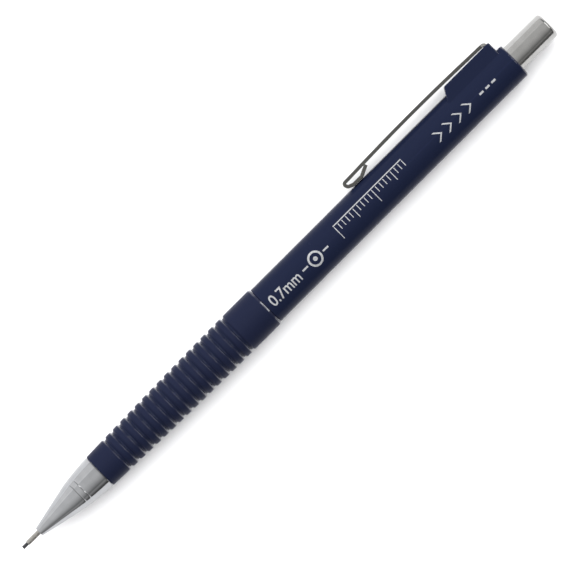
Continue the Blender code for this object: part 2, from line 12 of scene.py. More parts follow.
import bmesh
import bpy
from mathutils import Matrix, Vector


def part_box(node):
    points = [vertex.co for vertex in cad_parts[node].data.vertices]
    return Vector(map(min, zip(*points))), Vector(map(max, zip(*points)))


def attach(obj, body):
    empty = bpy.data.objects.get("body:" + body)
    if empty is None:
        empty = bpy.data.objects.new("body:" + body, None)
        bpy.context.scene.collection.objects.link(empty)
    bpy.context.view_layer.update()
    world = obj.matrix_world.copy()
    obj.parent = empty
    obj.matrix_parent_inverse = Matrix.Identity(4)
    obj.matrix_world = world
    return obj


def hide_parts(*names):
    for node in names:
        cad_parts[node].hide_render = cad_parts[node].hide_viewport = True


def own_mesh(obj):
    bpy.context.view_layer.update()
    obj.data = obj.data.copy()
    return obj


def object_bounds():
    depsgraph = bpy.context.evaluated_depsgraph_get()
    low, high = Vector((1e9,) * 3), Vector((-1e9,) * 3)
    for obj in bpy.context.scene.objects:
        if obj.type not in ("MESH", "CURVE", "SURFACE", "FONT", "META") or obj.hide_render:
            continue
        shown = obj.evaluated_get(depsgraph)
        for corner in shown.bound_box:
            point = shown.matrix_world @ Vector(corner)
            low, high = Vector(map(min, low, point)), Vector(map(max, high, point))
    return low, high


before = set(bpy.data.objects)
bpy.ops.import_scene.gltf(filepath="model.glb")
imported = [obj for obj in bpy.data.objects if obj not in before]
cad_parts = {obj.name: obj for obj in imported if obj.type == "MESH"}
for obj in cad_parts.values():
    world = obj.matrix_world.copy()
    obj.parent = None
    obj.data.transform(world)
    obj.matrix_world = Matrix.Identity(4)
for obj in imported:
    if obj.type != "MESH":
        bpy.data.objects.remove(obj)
cad_low, cad_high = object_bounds()
MM = 0.001
print("the pencil's box in mm:", [round((b - a) / MM, 2) for a, b in zip(cad_low, cad_high)])

# %% [markdown]
# ## Measuring from the frame
#
# Every round piece shares one axis, which runs along X. The grip is round and rests on the
# table, so the middle of its box is on that axis. A place along the pencil is called a station,
# and is measured from the point of the lead, as a maker would measure it on a lathe.

# %% The axis, and sizes read from the frame
grip_low, grip_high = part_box("grip")
AXIS = Vector((0.0, (grip_low.y + grip_high.y) / 2, (grip_low.z + grip_high.z) / 2))
TIP = cad_low.x


def at(station):
    """World x of a station, which is in millimetres from the point of the lead."""
    return TIP + station * MM


def station_of(x):
    return (x - TIP) / MM


def span(node):
    """Front station, back station and radius, in millimetres, of a round piece of the frame."""
    low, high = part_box(node)
    return station_of(low.x), station_of(high.x), (high.y - low.y) / 2 / MM


for node in sorted(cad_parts):
    print(node, [round(value, 2) for value in span(node)])

# %% [markdown]
# ## The camera
#
# The camera hangs straight above the pencil and is turned in its own plane, so that the pencil
# runs from the lower left corner to the upper right. A long lens from far away keeps the
# proportions true, as in a catalogue picture.

# %% Camera
CAMERA_HEIGHT = 2.0
FIELD_WIDTH = 0.1097  # width of the view at the height of the pencil's axis
SENSOR = 36.0
TURN = math.radians(-44.95)
OFF_RIGHT = 0.00041
OFF_UP = -0.00045

right = Vector((math.cos(TURN), math.sin(TURN), 0.0))
up = Vector((-math.sin(TURN), math.cos(TURN), 0.0))
eye = Vector((0.0, AXIS.y, AXIS.z + CAMERA_HEIGHT)) + right * OFF_RIGHT + up * OFF_UP
bpy.ops.object.camera_add(location=eye, rotation=(0.0, 0.0, TURN))
camera = bpy.context.object
camera.name = "camera"
camera.data.sensor_width = SENSOR
camera.data.lens = SENSOR * CAMERA_HEIGHT / FIELD_WIDTH
bpy.context.scene.camera = camera
print("lens in mm:", round(camera.data.lens, 1))

# %% [markdown]
# ## The table and the light
#
# Polished steel shows what is round it more than its own colour, so the light is planned first.
# The sky is the inside of a large white tent: brightest on one side, and dimming towards the
# other, which draws the dark line along the lower flank of every metal piece. A wide lamp that
# the metal doesn't mirror adds the soft shadow on the white table, and a low one at the cap's
# end gives the edges and the grooves their glints.

# %% Table
TABLE_SIZE = 4.0
bpy.ops.object.select_all(action="DESELECT")
bpy.ops.mesh.primitive_plane_add(size=TABLE_SIZE, location=(0.0, 0.0, cad_low.z))
table = bpy.context.object
table.name = "table"

paper = bpy.data.materials.new("table_paper")
paper.use_nodes = True
paper_nodes, paper_links = paper.node_tree.nodes, paper.node_tree.links
paper_shader = paper_nodes["Principled BSDF"]
paper_shader.inputs["Roughness"].default_value = 0.9
paper_shader.inputs["Specular IOR Level"].default_value = 0.1
paper_grain = paper_nodes.new("ShaderNodeTexNoise")
paper_grain.inputs["Scale"].default_value = 60.0
paper_tone = paper_nodes.new("ShaderNodeValToRGB")
paper_tone.color_ramp.elements[0].color = (0.88, 0.88, 0.89, 1.0)
paper_tone.color_ramp.elements[1].color = (0.91, 0.91, 0.92, 1.0)
paper_place = paper_nodes.new("ShaderNodeTexCoord")
paper_links.new(paper_place.outputs["Object"], paper_grain.inputs["Vector"])
paper_links.new(paper_grain.outputs["Fac"], paper_tone.inputs["Fac"])
paper_links.new(paper_tone.outputs["Color"], paper_shader.inputs["Base Color"])
table.data.materials.append(paper)

# %% Lamps
AWAY = Vector((0.0, -1.0, 0.0))  # across the pencil, towards the shadow side
ALONG = Vector((1.0, 0.0, 0.0))
UPWARDS = Vector((0.0, 0.0, 1.0))


def softbox(name, direction, distance, width, height, power, mirrored):
    """A lamp that faces the pencil from a direction; only a mirrored one shows in polished metal."""
    place = Vector((0.0, AXIS.y, 0.0)) + direction.normalized() * distance
    bpy.ops.object.light_add(type="AREA", location=place)
    lamp = bpy.context.object
    lamp.name = name
    lamp.rotation_euler = (-direction).to_track_quat("-Z", "Y").to_euler()
    lamp.data.shape = "RECTANGLE"
    lamp.data.size = width
    lamp.data.size_y = height
    lamp.data.energy = power
    lamp.visible_camera = False
    lamp.visible_glossy = mirrored


tent_side = -AWAY * 0.55 + UPWARDS * 0.85
softbox("tent_lamp", tent_side, distance=1.6, width=2.4, height=2.4, power=46.0, mirrored=False)
softbox("glint_lamp", ALONG + UPWARDS, distance=1.3, width=1.4, height=0.18, power=7.0, mirrored=True)

# %% Sky
sky = bpy.data.worlds.new("studio")
bpy.context.scene.world = sky
sky.use_nodes = True
sky_nodes, sky_links = sky.node_tree.nodes, sky.node_tree.links
sky_place = sky_nodes.new("ShaderNodeTexCoord")


def sky_ramp(direction, stops):
    """How bright the sky is by its share of a direction, from -1 (opposite) to 1 (along it)."""
    share = sky_nodes.new("ShaderNodeVectorMath")
    share.operation = "DOT_PRODUCT"
    share.inputs[1].default_value = direction
    position = sky_nodes.new("ShaderNodeMath")  # turns -1..1 into 0..1
    position.operation = "MULTIPLY_ADD"
    position.inputs[1].default_value = 0.5
    position.inputs[2].default_value = 0.5
    ramp = sky_nodes.new("ShaderNodeValToRGB")
    while len(ramp.color_ramp.elements) < len(stops):
        ramp.color_ramp.elements.new(0.5)
    for stop, (reach, level) in zip(ramp.color_ramp.elements, stops):
        stop.position = (reach + 1) / 2
        stop.color = (level, level, level, 1.0)
    sky_links.new(sky_place.outputs["Generated"], share.inputs[0])
    sky_links.new(share.outputs["Value"], position.inputs[0])
    sky_links.new(position.outputs["Value"], ramp.inputs["Fac"])
    return ramp.outputs["Color"]


ACROSS_STOPS = (
    (-1.00, 0.86),
    (-0.72, 0.82),
    (-0.67, 1.00),
    (-0.63, 0.66),
    (0.00, 0.66),
    (0.20, 0.60),
    (0.45, 0.49),
    (0.65, 0.34),
    (0.80, 0.18),
    (0.89, 0.32),
    (0.98, 0.09),
)
ALONG_STOPS = ((-1.00, 1.00), (-0.40, 0.98), (0.00, 0.82), (0.30, 0.55), (0.60, 0.30), (0.95, 0.22))
SKY_STRENGTH = 1.88
sky_level = sky_nodes.new("ShaderNodeVectorMath")
sky_level.operation = "MULTIPLY"
sky_links.new(sky_ramp(AWAY, ACROSS_STOPS), sky_level.inputs[0])
sky_links.new(sky_ramp(ALONG, ALONG_STOPS), sky_level.inputs[1])
sky_links.new(sky_level.outputs["Vector"], sky_nodes["Background"].inputs["Color"])
sky_nodes["Background"].inputs["Strength"].default_value = SKY_STRENGTH
bpy.context.scene.view_settings.view_transform = "Standard"

# %% [markdown]
# ## Effects that several finishes share
#
# A surface is believable when it isn't perfect: plastic has a fine grain from its mould, turned
# metal keeps the faint rings of the lathe tool, and everything that is handled gets smudges and
# wear on its edges. On the plastic, the lighter edges are partly wear and partly a painted
# highlight. Each effect is a node group that is built once. It reads Object coordinates, which
# are in metres here, so a scale of 1000 gives a pattern of about a millimetre.

# %% Node group helpers


def new_group(name, inputs, outputs):
    """An empty shader node group with named number inputs and outputs."""
    group = bpy.data.node_groups.new(name, "ShaderNodeTree")
    for socket_name, value in inputs.items():
        socket = group.interface.new_socket(socket_name, in_out="INPUT", socket_type="NodeSocketFloat")
        socket.default_value = value
    for socket_name in outputs:
        group.interface.new_socket(socket_name, in_out="OUTPUT", socket_type="NodeSocketFloat")
    return group, group.nodes.new("NodeGroupInput"), group.nodes.new("NodeGroupOutput")


def place_in(tree, output="Object"):
    """A place on the piece, or with "Normal" the way that its surface faces."""
    return tree.nodes.new("ShaderNodeTexCoord").outputs[output]


def stretched(tree, scale):
    """The place scaled by three factors; a small factor draws a pattern out into lines that way."""
    node = tree.nodes.new("ShaderNodeMapping")
    node.inputs["Scale"].default_value = scale
    tree.links.new(place_in(tree), node.inputs["Vector"])
    return node.outputs["Vector"]


def noise(group, vector, scale, detail=3.0):
    """A noise texture in a node tree; scale is a number or a socket."""
    node = group.nodes.new("ShaderNodeTexNoise")
    node.inputs["Detail"].default_value = detail
    if isinstance(scale, bpy.types.NodeSocket):
        group.links.new(scale, node.inputs["Scale"])
    else:
        node.inputs["Scale"].default_value = scale
    group.links.new(vector, node.inputs["Vector"])
    return node.outputs["Fac"]


def spread(group, value, low, high, new_low, new_high):
    """Map Range on sockets or numbers."""
    node = group.nodes.new("ShaderNodeMapRange")
    for number, item in enumerate((value, low, high, new_low, new_high)):
        if isinstance(item, bpy.types.NodeSocket):
            group.links.new(item, node.inputs[number])
        else:
            node.inputs[number].default_value = item
    return node.outputs["Result"]


def multiply(group, first, second):
    """The product of two masks."""
    node = group.nodes.new("ShaderNodeMath")
    node.operation = "MULTIPLY"
    group.links.new(first, node.inputs[0])
    group.links.new(second, node.inputs[1])
    return node.outputs["Value"]


# %% Grain of a mould, for plastic, rubber and vinyl
grain_group, grain_in, grain_out = new_group("mould_grain", {"Scale": 9000.0}, ["Height"])
grain_fine = noise(grain_group, place_in(grain_group), grain_in.outputs["Scale"], 4.0)
grain_group.links.new(grain_fine, grain_out.inputs["Height"])

# %% Rings that a lathe tool leaves, for turned metal
ROUND_THE_AXIS = (1.0, 0.03, 0.03)
rings_group, rings_in, rings_out = new_group("turning_rings", {"Scale": 16000.0}, ["Height"])
rings_value = noise(rings_group, stretched(rings_group, ROUND_THE_AXIS), rings_in.outputs["Scale"], 2.0)
rings_group.links.new(rings_value, rings_out.inputs["Height"])

# %% Smudges: the roughness of a handled surface drifts between two values
smudge_inputs = {"Scale": 260.0, "Cleanest": 0.15, "Dullest": 0.25}
smudge_group, smudge_in, smudge_out = new_group("handling_smudges", smudge_inputs, ["Roughness"])
smudge_value = noise(smudge_group, place_in(smudge_group), smudge_in.outputs["Scale"], 5.0)
smudge_spread = spread(
    smudge_group, smudge_value, 0.35, 0.7, smudge_in.outputs["Cleanest"], smudge_in.outputs["Dullest"]
)
smudge_group.links.new(smudge_spread, smudge_out.inputs["Roughness"])

# %% Edges lightened in patches, partly by wear and partly as a painted highlight: a patchy mask that is highest on outer edges
wear_highlight_group, wear_highlight_in, wear_highlight_out = new_group("edge_wear_and_highlight", {"Start": 0.52, "Full": 0.62}, ["Mask"])
wear_highlight_shape = wear_highlight_group.nodes.new("ShaderNodeNewGeometry").outputs["Pointiness"]
wear_highlight_edge = spread(wear_highlight_group, wear_highlight_shape, wear_highlight_in.outputs["Start"], wear_highlight_in.outputs["Full"], 0.0, 1.0)
wear_highlight_patches = noise(wear_highlight_group, place_in(wear_highlight_group), 900.0)
wear_highlight_group.links.new(multiply(wear_highlight_group, wear_highlight_edge, wear_highlight_patches), wear_highlight_out.inputs["Mask"])

# %% [markdown]
# ## The finishes
#
# Each finish is one material with its own Principled BSDF. Numbers that are the same all over
# are set on the shader, and what changes over the surface comes from the groups above.

# %% Material helpers
MICRON = 0.000001


class Finish:
    """A material under construction, with its nodes and its shader at hand."""

    def __init__(self, name, metallic=0.0, ior=1.5):
        self.material = bpy.data.materials.new(name)
        self.material.use_nodes = True
        self.tree = self.material.node_tree
        self.shader = self.tree.nodes["Principled BSDF"]
        self.set_constants({"Metallic": metallic, "IOR": ior})

    def set_constants(self, values):
        """Sets what is the same all over the surface, on the shader's own sockets."""
        for socket, value in values.items():
            self.shader.inputs[socket].default_value = value

    def feed(self, socket, value):
        self.tree.links.new(value, self.shader.inputs[socket])

    def effect(self, group, output, **values):
        """Places a shared group with this finish's own values, and gives one of its outputs."""
        node = self.tree.nodes.new("ShaderNodeGroup")
        node.node_tree = group
        for name, value in values.items():
            node.inputs[name].default_value = value
        return node.outputs[output]

    def bump(self, height, depth):
        """Bump that is as deep as a distance in metres."""
        node = self.tree.nodes.new("ShaderNodeBump")
        node.inputs["Strength"].default_value = 1.0
        node.inputs["Distance"].default_value = depth
        self.tree.links.new(height, node.inputs["Height"])
        self.feed("Normal", node.outputs["Normal"])

    def texture(self, group, scale, depth):
        self.bump(self.effect(group, "Height", Scale=scale), depth)

    def smudges(self, cleanest, dullest, scale):
        return self.effect(smudge_group, "Roughness", Cleanest=cleanest, Dullest=dullest, Scale=scale)

    def colours(self, mask, first, second):
        """Base colour that goes from first to second as a mask goes from 0 to 1."""
        node = self.tree.nodes.new("ShaderNodeValToRGB")
        node.color_ramp.elements[0].color = (*first, 1.0)
        node.color_ramp.elements[1].color = (*second, 1.0)
        self.tree.links.new(mask, node.inputs["Fac"])
        self.feed("Base Color", node.outputs["Color"])

    def coordinate(self, output, letter):
        """X, Y or Z of the piece's Object or Normal coordinates."""
        node = self.tree.nodes.new("ShaderNodeSeparateXYZ")
        self.tree.links.new(place_in(self.tree, output), node.inputs["Vector"])
        return node.outputs[letter]


def plain_finish(name, colours, patches, rough, smudges, texture, drift=(0.3, 0.7), **kinds):
    """A finish whose colour drifts between two in patches, with smudges and one fine texture.

    rough is the cleanest and the dullest roughness. texture is a group, its scale and its depth.
    """
    finish = Finish(name, **kinds)
    cloud = noise(finish.tree, place_in(finish.tree), patches)
    finish.colours(spread(finish.tree, cloud, *drift, 0.0, 1.0), *colours)
    finish.feed("Roughness", finish.smudges(*rough, smudges))
    finish.texture(*texture)
    return finish


# %% Navy plastic: glossy on the barrel, and duller on the grip that fingers have rubbed
PAINTED_GLINT_FACING = (0.18, 0.30)  # the coat, a painted glint, sets in between these shares of facing the cap's end, where the glint lamp is
SHEEN_TINT = (0.40, 0.38, 0.85, 1.0)


def navy_plastic(name, body, worn_highlight, rough, grain_depth):
    """Plastic whose edges are lighter in patches, partly from wear and partly as a painted highlight, and
    whose faces turned towards the cap's end get a coat: a painted glint from the glint lamp.
    """
    finish = Finish(name, ior=1.49)
    # partly painted highlight: outer edges are mixed towards a lighter navy, as wear and as a painted
    # highlight
    finish.colours(finish.effect(wear_highlight_group, "Mask", Start=0.53, Full=0.66), body, worn_highlight)
    finish.feed("Roughness", finish.smudges(*rough, 420.0))
    # painted glint: only faces turned towards the glint lamp at the cap's end get the coat
    lips = spread(finish.tree, finish.coordinate("Normal", "X"), *PAINTED_GLINT_FACING, 0.0, 1.0)
    finish.feed("Coat Weight", lips)
    finish.texture(grain_group, 7000.0, grain_depth)
    finish.set_constants({"Specular IOR Level": 0.04, "Coat Roughness": 0.12})
    finish.set_constants({"Sheen Weight": 0.075, "Sheen Roughness": 0.3, "Sheen Tint": SHEEN_TINT})
    return finish


barrel_navy = navy_plastic(
    "barrel_navy",
    body=(0.0072, 0.0102, 0.0264),
    worn_highlight=(0.012, 0.016, 0.045),
    rough=(0.18, 0.28),
    grain_depth=1.2 * MICRON,
)
grip_navy = navy_plastic(
    "grip_navy",
    body=(0.0084, 0.0110, 0.0272),
    worn_highlight=(0.014, 0.018, 0.048),
    rough=(0.28, 0.40),
    grain_depth=2.0 * MICRON,
)

# %% Metals: polished steel on the cone and, softer, on the cap; satin steel, wire and brass
cone_steel = plain_finish(
    "cone_steel",
    colours=((0.315, 0.32, 0.33), (0.35, 0.355, 0.365)),
    patches=500.0,
    rough=(0.035, 0.07),
    smudges=600.0,
    texture=(rings_group, 14000.0, 0.6 * MICRON),
    metallic=1.0,
)
cap_steel = plain_finish(
    "cap_steel",
    colours=((0.325, 0.322, 0.314), (0.36, 0.357, 0.349)),
    patches=500.0,
    rough=(0.13, 0.19),
    smudges=600.0,
    texture=(rings_group, 14000.0, 0.6 * MICRON),
    metallic=1.0,
)
satin = plain_finish(
    "satin_steel",
    colours=((0.27, 0.26, 0.24), (0.33, 0.32, 0.30)),
    patches=1500.0,
    rough=(0.22, 0.34),
    smudges=1500.0,
    texture=(rings_group, 24000.0, 1.5 * MICRON),
    metallic=1.0,
)
wire = plain_finish(
    "spring_wire",
    colours=((0.28, 0.275, 0.26), (0.35, 0.34, 0.33)),
    patches=700.0,
    rough=(0.16, 0.26),
    smudges=800.0,
    texture=(grain_group, 12000.0, 0.8 * MICRON),
    metallic=1.0,
)
brass = plain_finish(
    "brass",
    colours=((0.62, 0.42, 0.15), (0.78, 0.56, 0.24)),
    patches=900.0,
    rough=(0.18, 0.32),
    smudges=900.0,
    texture=(rings_group, 15000.0, 1.5 * MICRON),
    metallic=1.0,
)

# %% Spring steel strip, for the clip: rolled faces with fine lines, and darker sheared edges
CLIP_TAIL = 129.85
SHEARED_BACK = CLIP_TAIL - 0.75  # behind this station the sheared edges keep the rolled steel's lighter colour, a painted highlight on the bend at the tail
ALONG_THE_STRIP = (0.015, 1.0, 1.0)
strip_steel = Finish("strip_steel", metallic=1.0)
tree = strip_steel.tree
upright = tree.nodes.new("ShaderNodeMath")
upright.operation = "ABSOLUTE"
tree.links.new(strip_steel.coordinate("Normal", "Z"), upright.inputs[0])
sheared_face = spread(tree, upright.outputs["Value"], 0.86, 0.98, 0.0, 1.0)
sheared_edges = (at(SHEARED_BACK), at(SHEARED_BACK + 0.1))
# painted highlight: the sheared edges are not darkened on the bend at the tail
sheared_part = spread(tree, strip_steel.coordinate("Object", "X"), *sheared_edges, 1.0, 0.0)
sheared = multiply(tree, sheared_face, sheared_part)
strip_steel.colours(sheared, (0.34, 0.335, 0.32), (0.10, 0.098, 0.092))
strip_steel.feed("Roughness", spread(tree, sheared, 0.0, 1.0, strip_steel.smudges(0.12, 0.22, 800.0), 0.4))
strip_steel.bump(noise(tree, stretched(tree, ALONG_THE_STRIP), 7000.0, 4.0), 12.0 * MICRON)

# %% Graphite, rubber, clear tube, acetal, vinyl and silver printing ink
graphite = plain_finish(
    "graphite",
    colours=((0.022, 0.022, 0.024), (0.045, 0.045, 0.047)),
    patches=9000.0,
    rough=(0.35, 0.55),
    smudges=5000.0,
    texture=(grain_group, 20000.0, 2.0 * MICRON),
)
graphite.set_constants({"Specular IOR Level": 0.2})
rubber = plain_finish(
    "retainer_rubber",
    colours=((0.018, 0.018, 0.018), (0.035, 0.034, 0.033)),
    patches=2500.0,
    rough=(0.55, 0.75),
    smudges=1500.0,
    texture=(grain_group, 14000.0, 5.0 * MICRON),
)
tube_plastic = plain_finish(
    "tube_plastic",
    colours=((0.52, 0.55, 0.58), (0.60, 0.63, 0.66)),
    patches=300.0,
    rough=(0.25, 0.38),
    smudges=500.0,
    texture=(grain_group, 6000.0, 2.0 * MICRON),
    ior=1.49,
)
tube_plastic.set_constants({"Subsurface Weight": 0.3, "Subsurface Radius": (0.001, 0.001, 0.001)})
acetal = plain_finish(
    "connector_plastic",
    colours=((0.62, 0.62, 0.58), (0.70, 0.70, 0.67)),
    patches=700.0,
    rough=(0.35, 0.5),
    smudges=700.0,
    texture=(grain_group, 8000.0, 3.0 * MICRON),
    ior=1.48,
)
vinyl = plain_finish(
    "eraser_vinyl",
    colours=((0.76, 0.76, 0.74), (0.84, 0.84, 0.83)),
    patches=600.0,
    rough=(0.55, 0.72),
    smudges=900.0,
    texture=(grain_group, 9000.0, 6.0 * MICRON),
)
vinyl.set_constants({"Subsurface Weight": 0.2, "Subsurface Radius": (0.0008, 0.0008, 0.0008)})
ink = plain_finish(
    "printing_ink",
    colours=((0.20, 0.205, 0.215), (0.33, 0.335, 0.345)),
    patches=4000.0,
    rough=(0.35, 0.5),
    smudges=2500.0,
    texture=(grain_group, 16000.0, 3.0 * MICRON),
    drift=(0.35, 0.6),
)
print("materials, with the table's and the frame's own:", len(bpy.data.materials))

# %% [markdown]
# ## How a turned piece is made
#
# Nearly every piece was cut on a lathe or moulded in a round tool. So it is drawn as a lathe
# hand would draw it: the outline is a chain of edges in the upright plane through the axis, its
# sharp corners are rounded with a vertex bevel, and the chain is spun about the axis. One vertex
# is extruded again and again to draw the chain. This gives every edge its true radius, which a
# primitive cylinder would not have.

# %% Helpers for turned pieces
SIDES = 96
MERGE = 2e-7  # metres; vertices closer than this are one


def start_piece():
    """Nothing is selected, and Blender is in object mode."""
    if bpy.context.object and bpy.context.object.mode != "OBJECT":
        bpy.ops.object.mode_set(mode="OBJECT")
    bpy.ops.object.select_all(action="DESELECT")


def take(piece):
    """Selects one piece alone and makes it active."""
    start_piece()
    piece.select_set(True)
    bpy.context.view_layer.objects.active = piece


def edit_all():
    """Enters edit mode, with the whole mesh selected."""
    bpy.ops.object.mode_set(mode="EDIT")
    bpy.ops.mesh.select_all(action="SELECT")


def leave_edit():
    bpy.ops.object.mode_set(mode="OBJECT")


def merge_all(distance=MERGE):
    """In edit mode, makes one vertex of those that lie together."""
    bpy.ops.mesh.select_all(action="SELECT")
    bpy.ops.mesh.remove_doubles(threshold=distance)


def shift(offset):
    """Moves the active piece's mesh, while its object stays at the origin."""
    edit_all()
    bpy.ops.transform.translate(value=offset)
    leave_edit()


def select_where(test):
    """In edit mode, selects the vertices whose place passes a test."""
    mesh = bmesh.from_edit_mesh(bpy.context.object.data)
    bpy.ops.mesh.select_mode(type="VERT")
    for vert in mesh.verts:
        vert.select_set(test(vert.co))
    mesh.select_flush(True)
    bmesh.update_edit_mesh(bpy.context.object.data)


def draw_chain(name, places):
    """Draws a chain of edges through places by extruding one vertex, and stays in edit mode."""
    start_piece()
    bpy.ops.mesh.primitive_plane_add(size=MM, location=places[0])
    bpy.context.object.name = name
    bpy.context.object.data.name = name
    bpy.ops.object.transform_apply(location=True, rotation=True, scale=True)
    bpy.ops.object.mode_set(mode="EDIT")
    bpy.ops.mesh.select_mode(type="VERT")
    bpy.ops.mesh.merge(type="CENTER")
    for before, after in zip(places, places[1:]):
        bpy.ops.mesh.extrude_region_move(TRANSFORM_OT_translate={"value": after - before})


def round_corners(corners, radius, steps=3):
    """Rounds the chain's corners at the given places with a vertex bevel."""
    select_where(lambda co: any((co - corner).length < MERGE for corner in corners))
    bpy.ops.mesh.bevel(offset=radius, offset_type="OFFSET", segments=steps, affect="VERTICES")


def radial(station, radius):
    """The place of an outline's point: a station and a radius, both in millimetres."""
    return Vector((at(station), AXIS.y, AXIS.z + radius * MM))


def rod(front, back, radius):
    """The outline of a solid rod, which starts and ends on the axis."""
    return [(front, 0.0), (front, radius), (back, radius), (back, 0.0)]


def ring(front, back, outer, inner):
    """The closed outline of a plain tube: two outer points and then two inner ones."""
    return [(front, outer), (back, outer), (back, inner), (front, inner)]


def turn(name, outline, rounded=(), loop=True, sides=SIDES):
    """Spins an outline of (station, radius) points about the pencil's axis.

    rounded holds (radius, [points]) pairs. A loop is a tube's closed outline; without it, the
    outline starts and ends on the axis.
    """
    places = [radial(*point) for point in outline]
    if loop:
        places.append(places[0])
    draw_chain(name, places)
    merge_all()
    for radius, points in rounded:
        round_corners([radial(*point) for point in points], radius * MM)
    bpy.ops.mesh.select_all(action="SELECT")
    bpy.ops.mesh.spin(steps=sides, angle=2 * math.pi, center=AXIS, axis=(1.0, 0.0, 0.0))
    merge_all()
    bpy.ops.mesh.normals_make_consistent(inside=False)
    leave_edit()
    return bpy.context.object


def extent(piece):
    """The lowest and the highest corner of a mesh's own box."""
    places = [vert.co for vert in piece.data.vertices]
    low = Vector([min(co[i] for co in places) for i in range(3)])
    high = Vector([max(co[i] for co in places) for i in range(3)])
    return low, high


def finish_piece(piece, body, finish, slot, *nodes, smooth=30.0):
    """Shades a piece, paints it, and ties it to the frame."""
    take(piece)
    bpy.ops.object.shade_smooth_by_angle(angle=math.radians(smooth))
    weights = piece.modifiers.new("weights", "WEIGHTED_NORMAL")
    weights.keep_sharp = True
    bpy.ops.object.modifier_apply(modifier="weights")
    piece.data.materials.clear()
    piece.data.materials.append(finish.material)
    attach(piece, body)
    if nodes:
        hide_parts(*nodes)
    size = [round((b - a) / MM, 2) for a, b in zip(*extent(piece))]
    print(f"{piece.name}: {size} mm, {len(piece.data.polygons)} faces")


# %% [markdown]
# ## The lead and the pipe that guides it
#
# The lead is a stick of graphite 0.7 mm thick. It stands out of a thin steel pipe, which keeps
# it straight and lets the point clear the edge of a ruler. A lead breaks off nearly square, so
# its end gets only a tiny rounding. The pipe is a true tube, with the lead's hole through it.

# %% Lead
lead_front, lead_back, lead_radius = span("lead")
lead_outline = rod(lead_front, lead_back, lead_radius)
lead = turn("lead_core", lead_outline, [(0.05, lead_outline[1:3])], loop=False, sides=48)
finish_piece(lead, "lead", graphite, "graphite", "lead")

# %% Guide pipe
PIPE_HOLE = 0.39
pipe_front, pipe_back, pipe_radius = span("lead_sleeve")
pipe_outline = ring(pipe_front, pipe_back, pipe_radius, PIPE_HOLE)
pipe = turn("guide_pipe", pipe_outline, [(0.05, pipe_outline[:2])], sides=64)
finish_piece(pipe, "nose_front", satin, "satin_steel", "lead_sleeve")

# %% [markdown]
# ## The nose cone
#
# The cone is turned from steel rod and polished. Its front is a straight taper that curls over
# until it is nearly level with the grip. Two hairline grooves run round it near the thick end.
# The curve is a quadratic one between the taper's line and a line through the shoulder, so both
# ends meet smoothly. Behind the shoulder is the threaded tail that screws into the grip.

# %% Nose cone outline
nose_front, tail_back, _ = span("nose_cone")
SHOULDER = 20.6
SHOULDER_RADIUS = 3.71
SHOULDER_SLOPE = 0.05
TAPER_BACK = 13.2
TAPER_BACK_RADIUS = 2.92
NOSE_FRONT_RADIUS = 0.94
HAIRLINES = (14.83, 16.0)
HAIRLINE_WIDTH = 0.25
HAIRLINE_DEPTH = 0.065
HAIRLINE_CLEAR = 0.1  # no other point of the outline lies this near to a hairline

taper_slope = (TAPER_BACK_RADIUS - NOSE_FRONT_RADIUS) / (TAPER_BACK - nose_front)
rise = SHOULDER_RADIUS - TAPER_BACK_RADIUS - SHOULDER_SLOPE * (SHOULDER - TAPER_BACK)
handle_reach = rise / (taper_slope - SHOULDER_SLOPE)
handle = (TAPER_BACK + handle_reach, TAPER_BACK_RADIUS + taper_slope * handle_reach)


def curve_point(share):
    """A point of the cone's curved part, from the taper (0) to the shoulder (1)."""
    weights = ((1 - share) ** 2, 2 * share * (1 - share), share**2)
    knots = ((TAPER_BACK, TAPER_BACK_RADIUS), handle, (SHOULDER, SHOULDER_RADIUS))
    return tuple(sum(w * knot[i] for w, knot in zip(weights, knots)) for i in range(2))


def cone_radius(station):
    """Radius of the curved part at a station, found by halving."""
    low, high = 0.0, 1.0
    for _ in range(30):
        middle = (low + high) / 2
        if curve_point(middle)[0] < station:
            low = middle
        else:
            high = middle
    return curve_point(low)[1]


CURVE_STEPS = 18
nose_outer = [(nose_front, NOSE_FRONT_RADIUS)]
nose_outer += [curve_point(i / CURVE_STEPS) for i in range(CURVE_STEPS + 1)]
hairline_lips = []
for middle in HAIRLINES:
    edges = (middle - HAIRLINE_WIDTH / 2, middle + HAIRLINE_WIDTH / 2)
    lips = [(edge, cone_radius(edge)) for edge in edges]
    nose_outer = [p for p in nose_outer if not edges[0] - HAIRLINE_CLEAR < p[0] < edges[1] + HAIRLINE_CLEAR]
    nose_outer += [*lips, (middle, cone_radius(middle) - HAIRLINE_DEPTH)]
    hairline_lips += lips
nose_outer.sort()
print("points in the cone's outline:", len(nose_outer))

# %% [markdown]
# The tail's thread is a real helix: a small ridge is carried round the axis by a Screw modifier,
# which climbs one pitch a turn. It is joined to the tail so that it moves with the cone.

# %% Winding round the axis
WINDING_STEPS = 48


def wind(piece, turns, climb):
    """Carries a small outline round the axis by a Screw modifier, climbing so many mm a turn.

    The modifier turns about the object's origin, so the outline is moved there and back.
    """
    shift(-AXIS)
    winding = piece.modifiers.new("winding", "SCREW")
    winding.axis = "X"
    winding.steps = WINDING_STEPS
    winding.render_steps = WINDING_STEPS
    winding.iterations = turns
    winding.screw_offset = climb * MM
    winding.use_merge_vertices = False
    bpy.ops.object.modifier_apply(modifier="winding")
    shift(AXIS)


def close_ends():
    """Puts a face on each open end of a wound piece."""
    bpy.ops.object.mode_set(mode="EDIT")
    bpy.ops.mesh.select_all(action="DESELECT")
    bpy.ops.mesh.select_mode(type="EDGE")
    bpy.ops.mesh.select_non_manifold()
    bpy.ops.mesh.edge_face_add()
    bpy.ops.mesh.select_all(action="SELECT")
    bpy.ops.mesh.normals_make_consistent(inside=False)
    leave_edit()


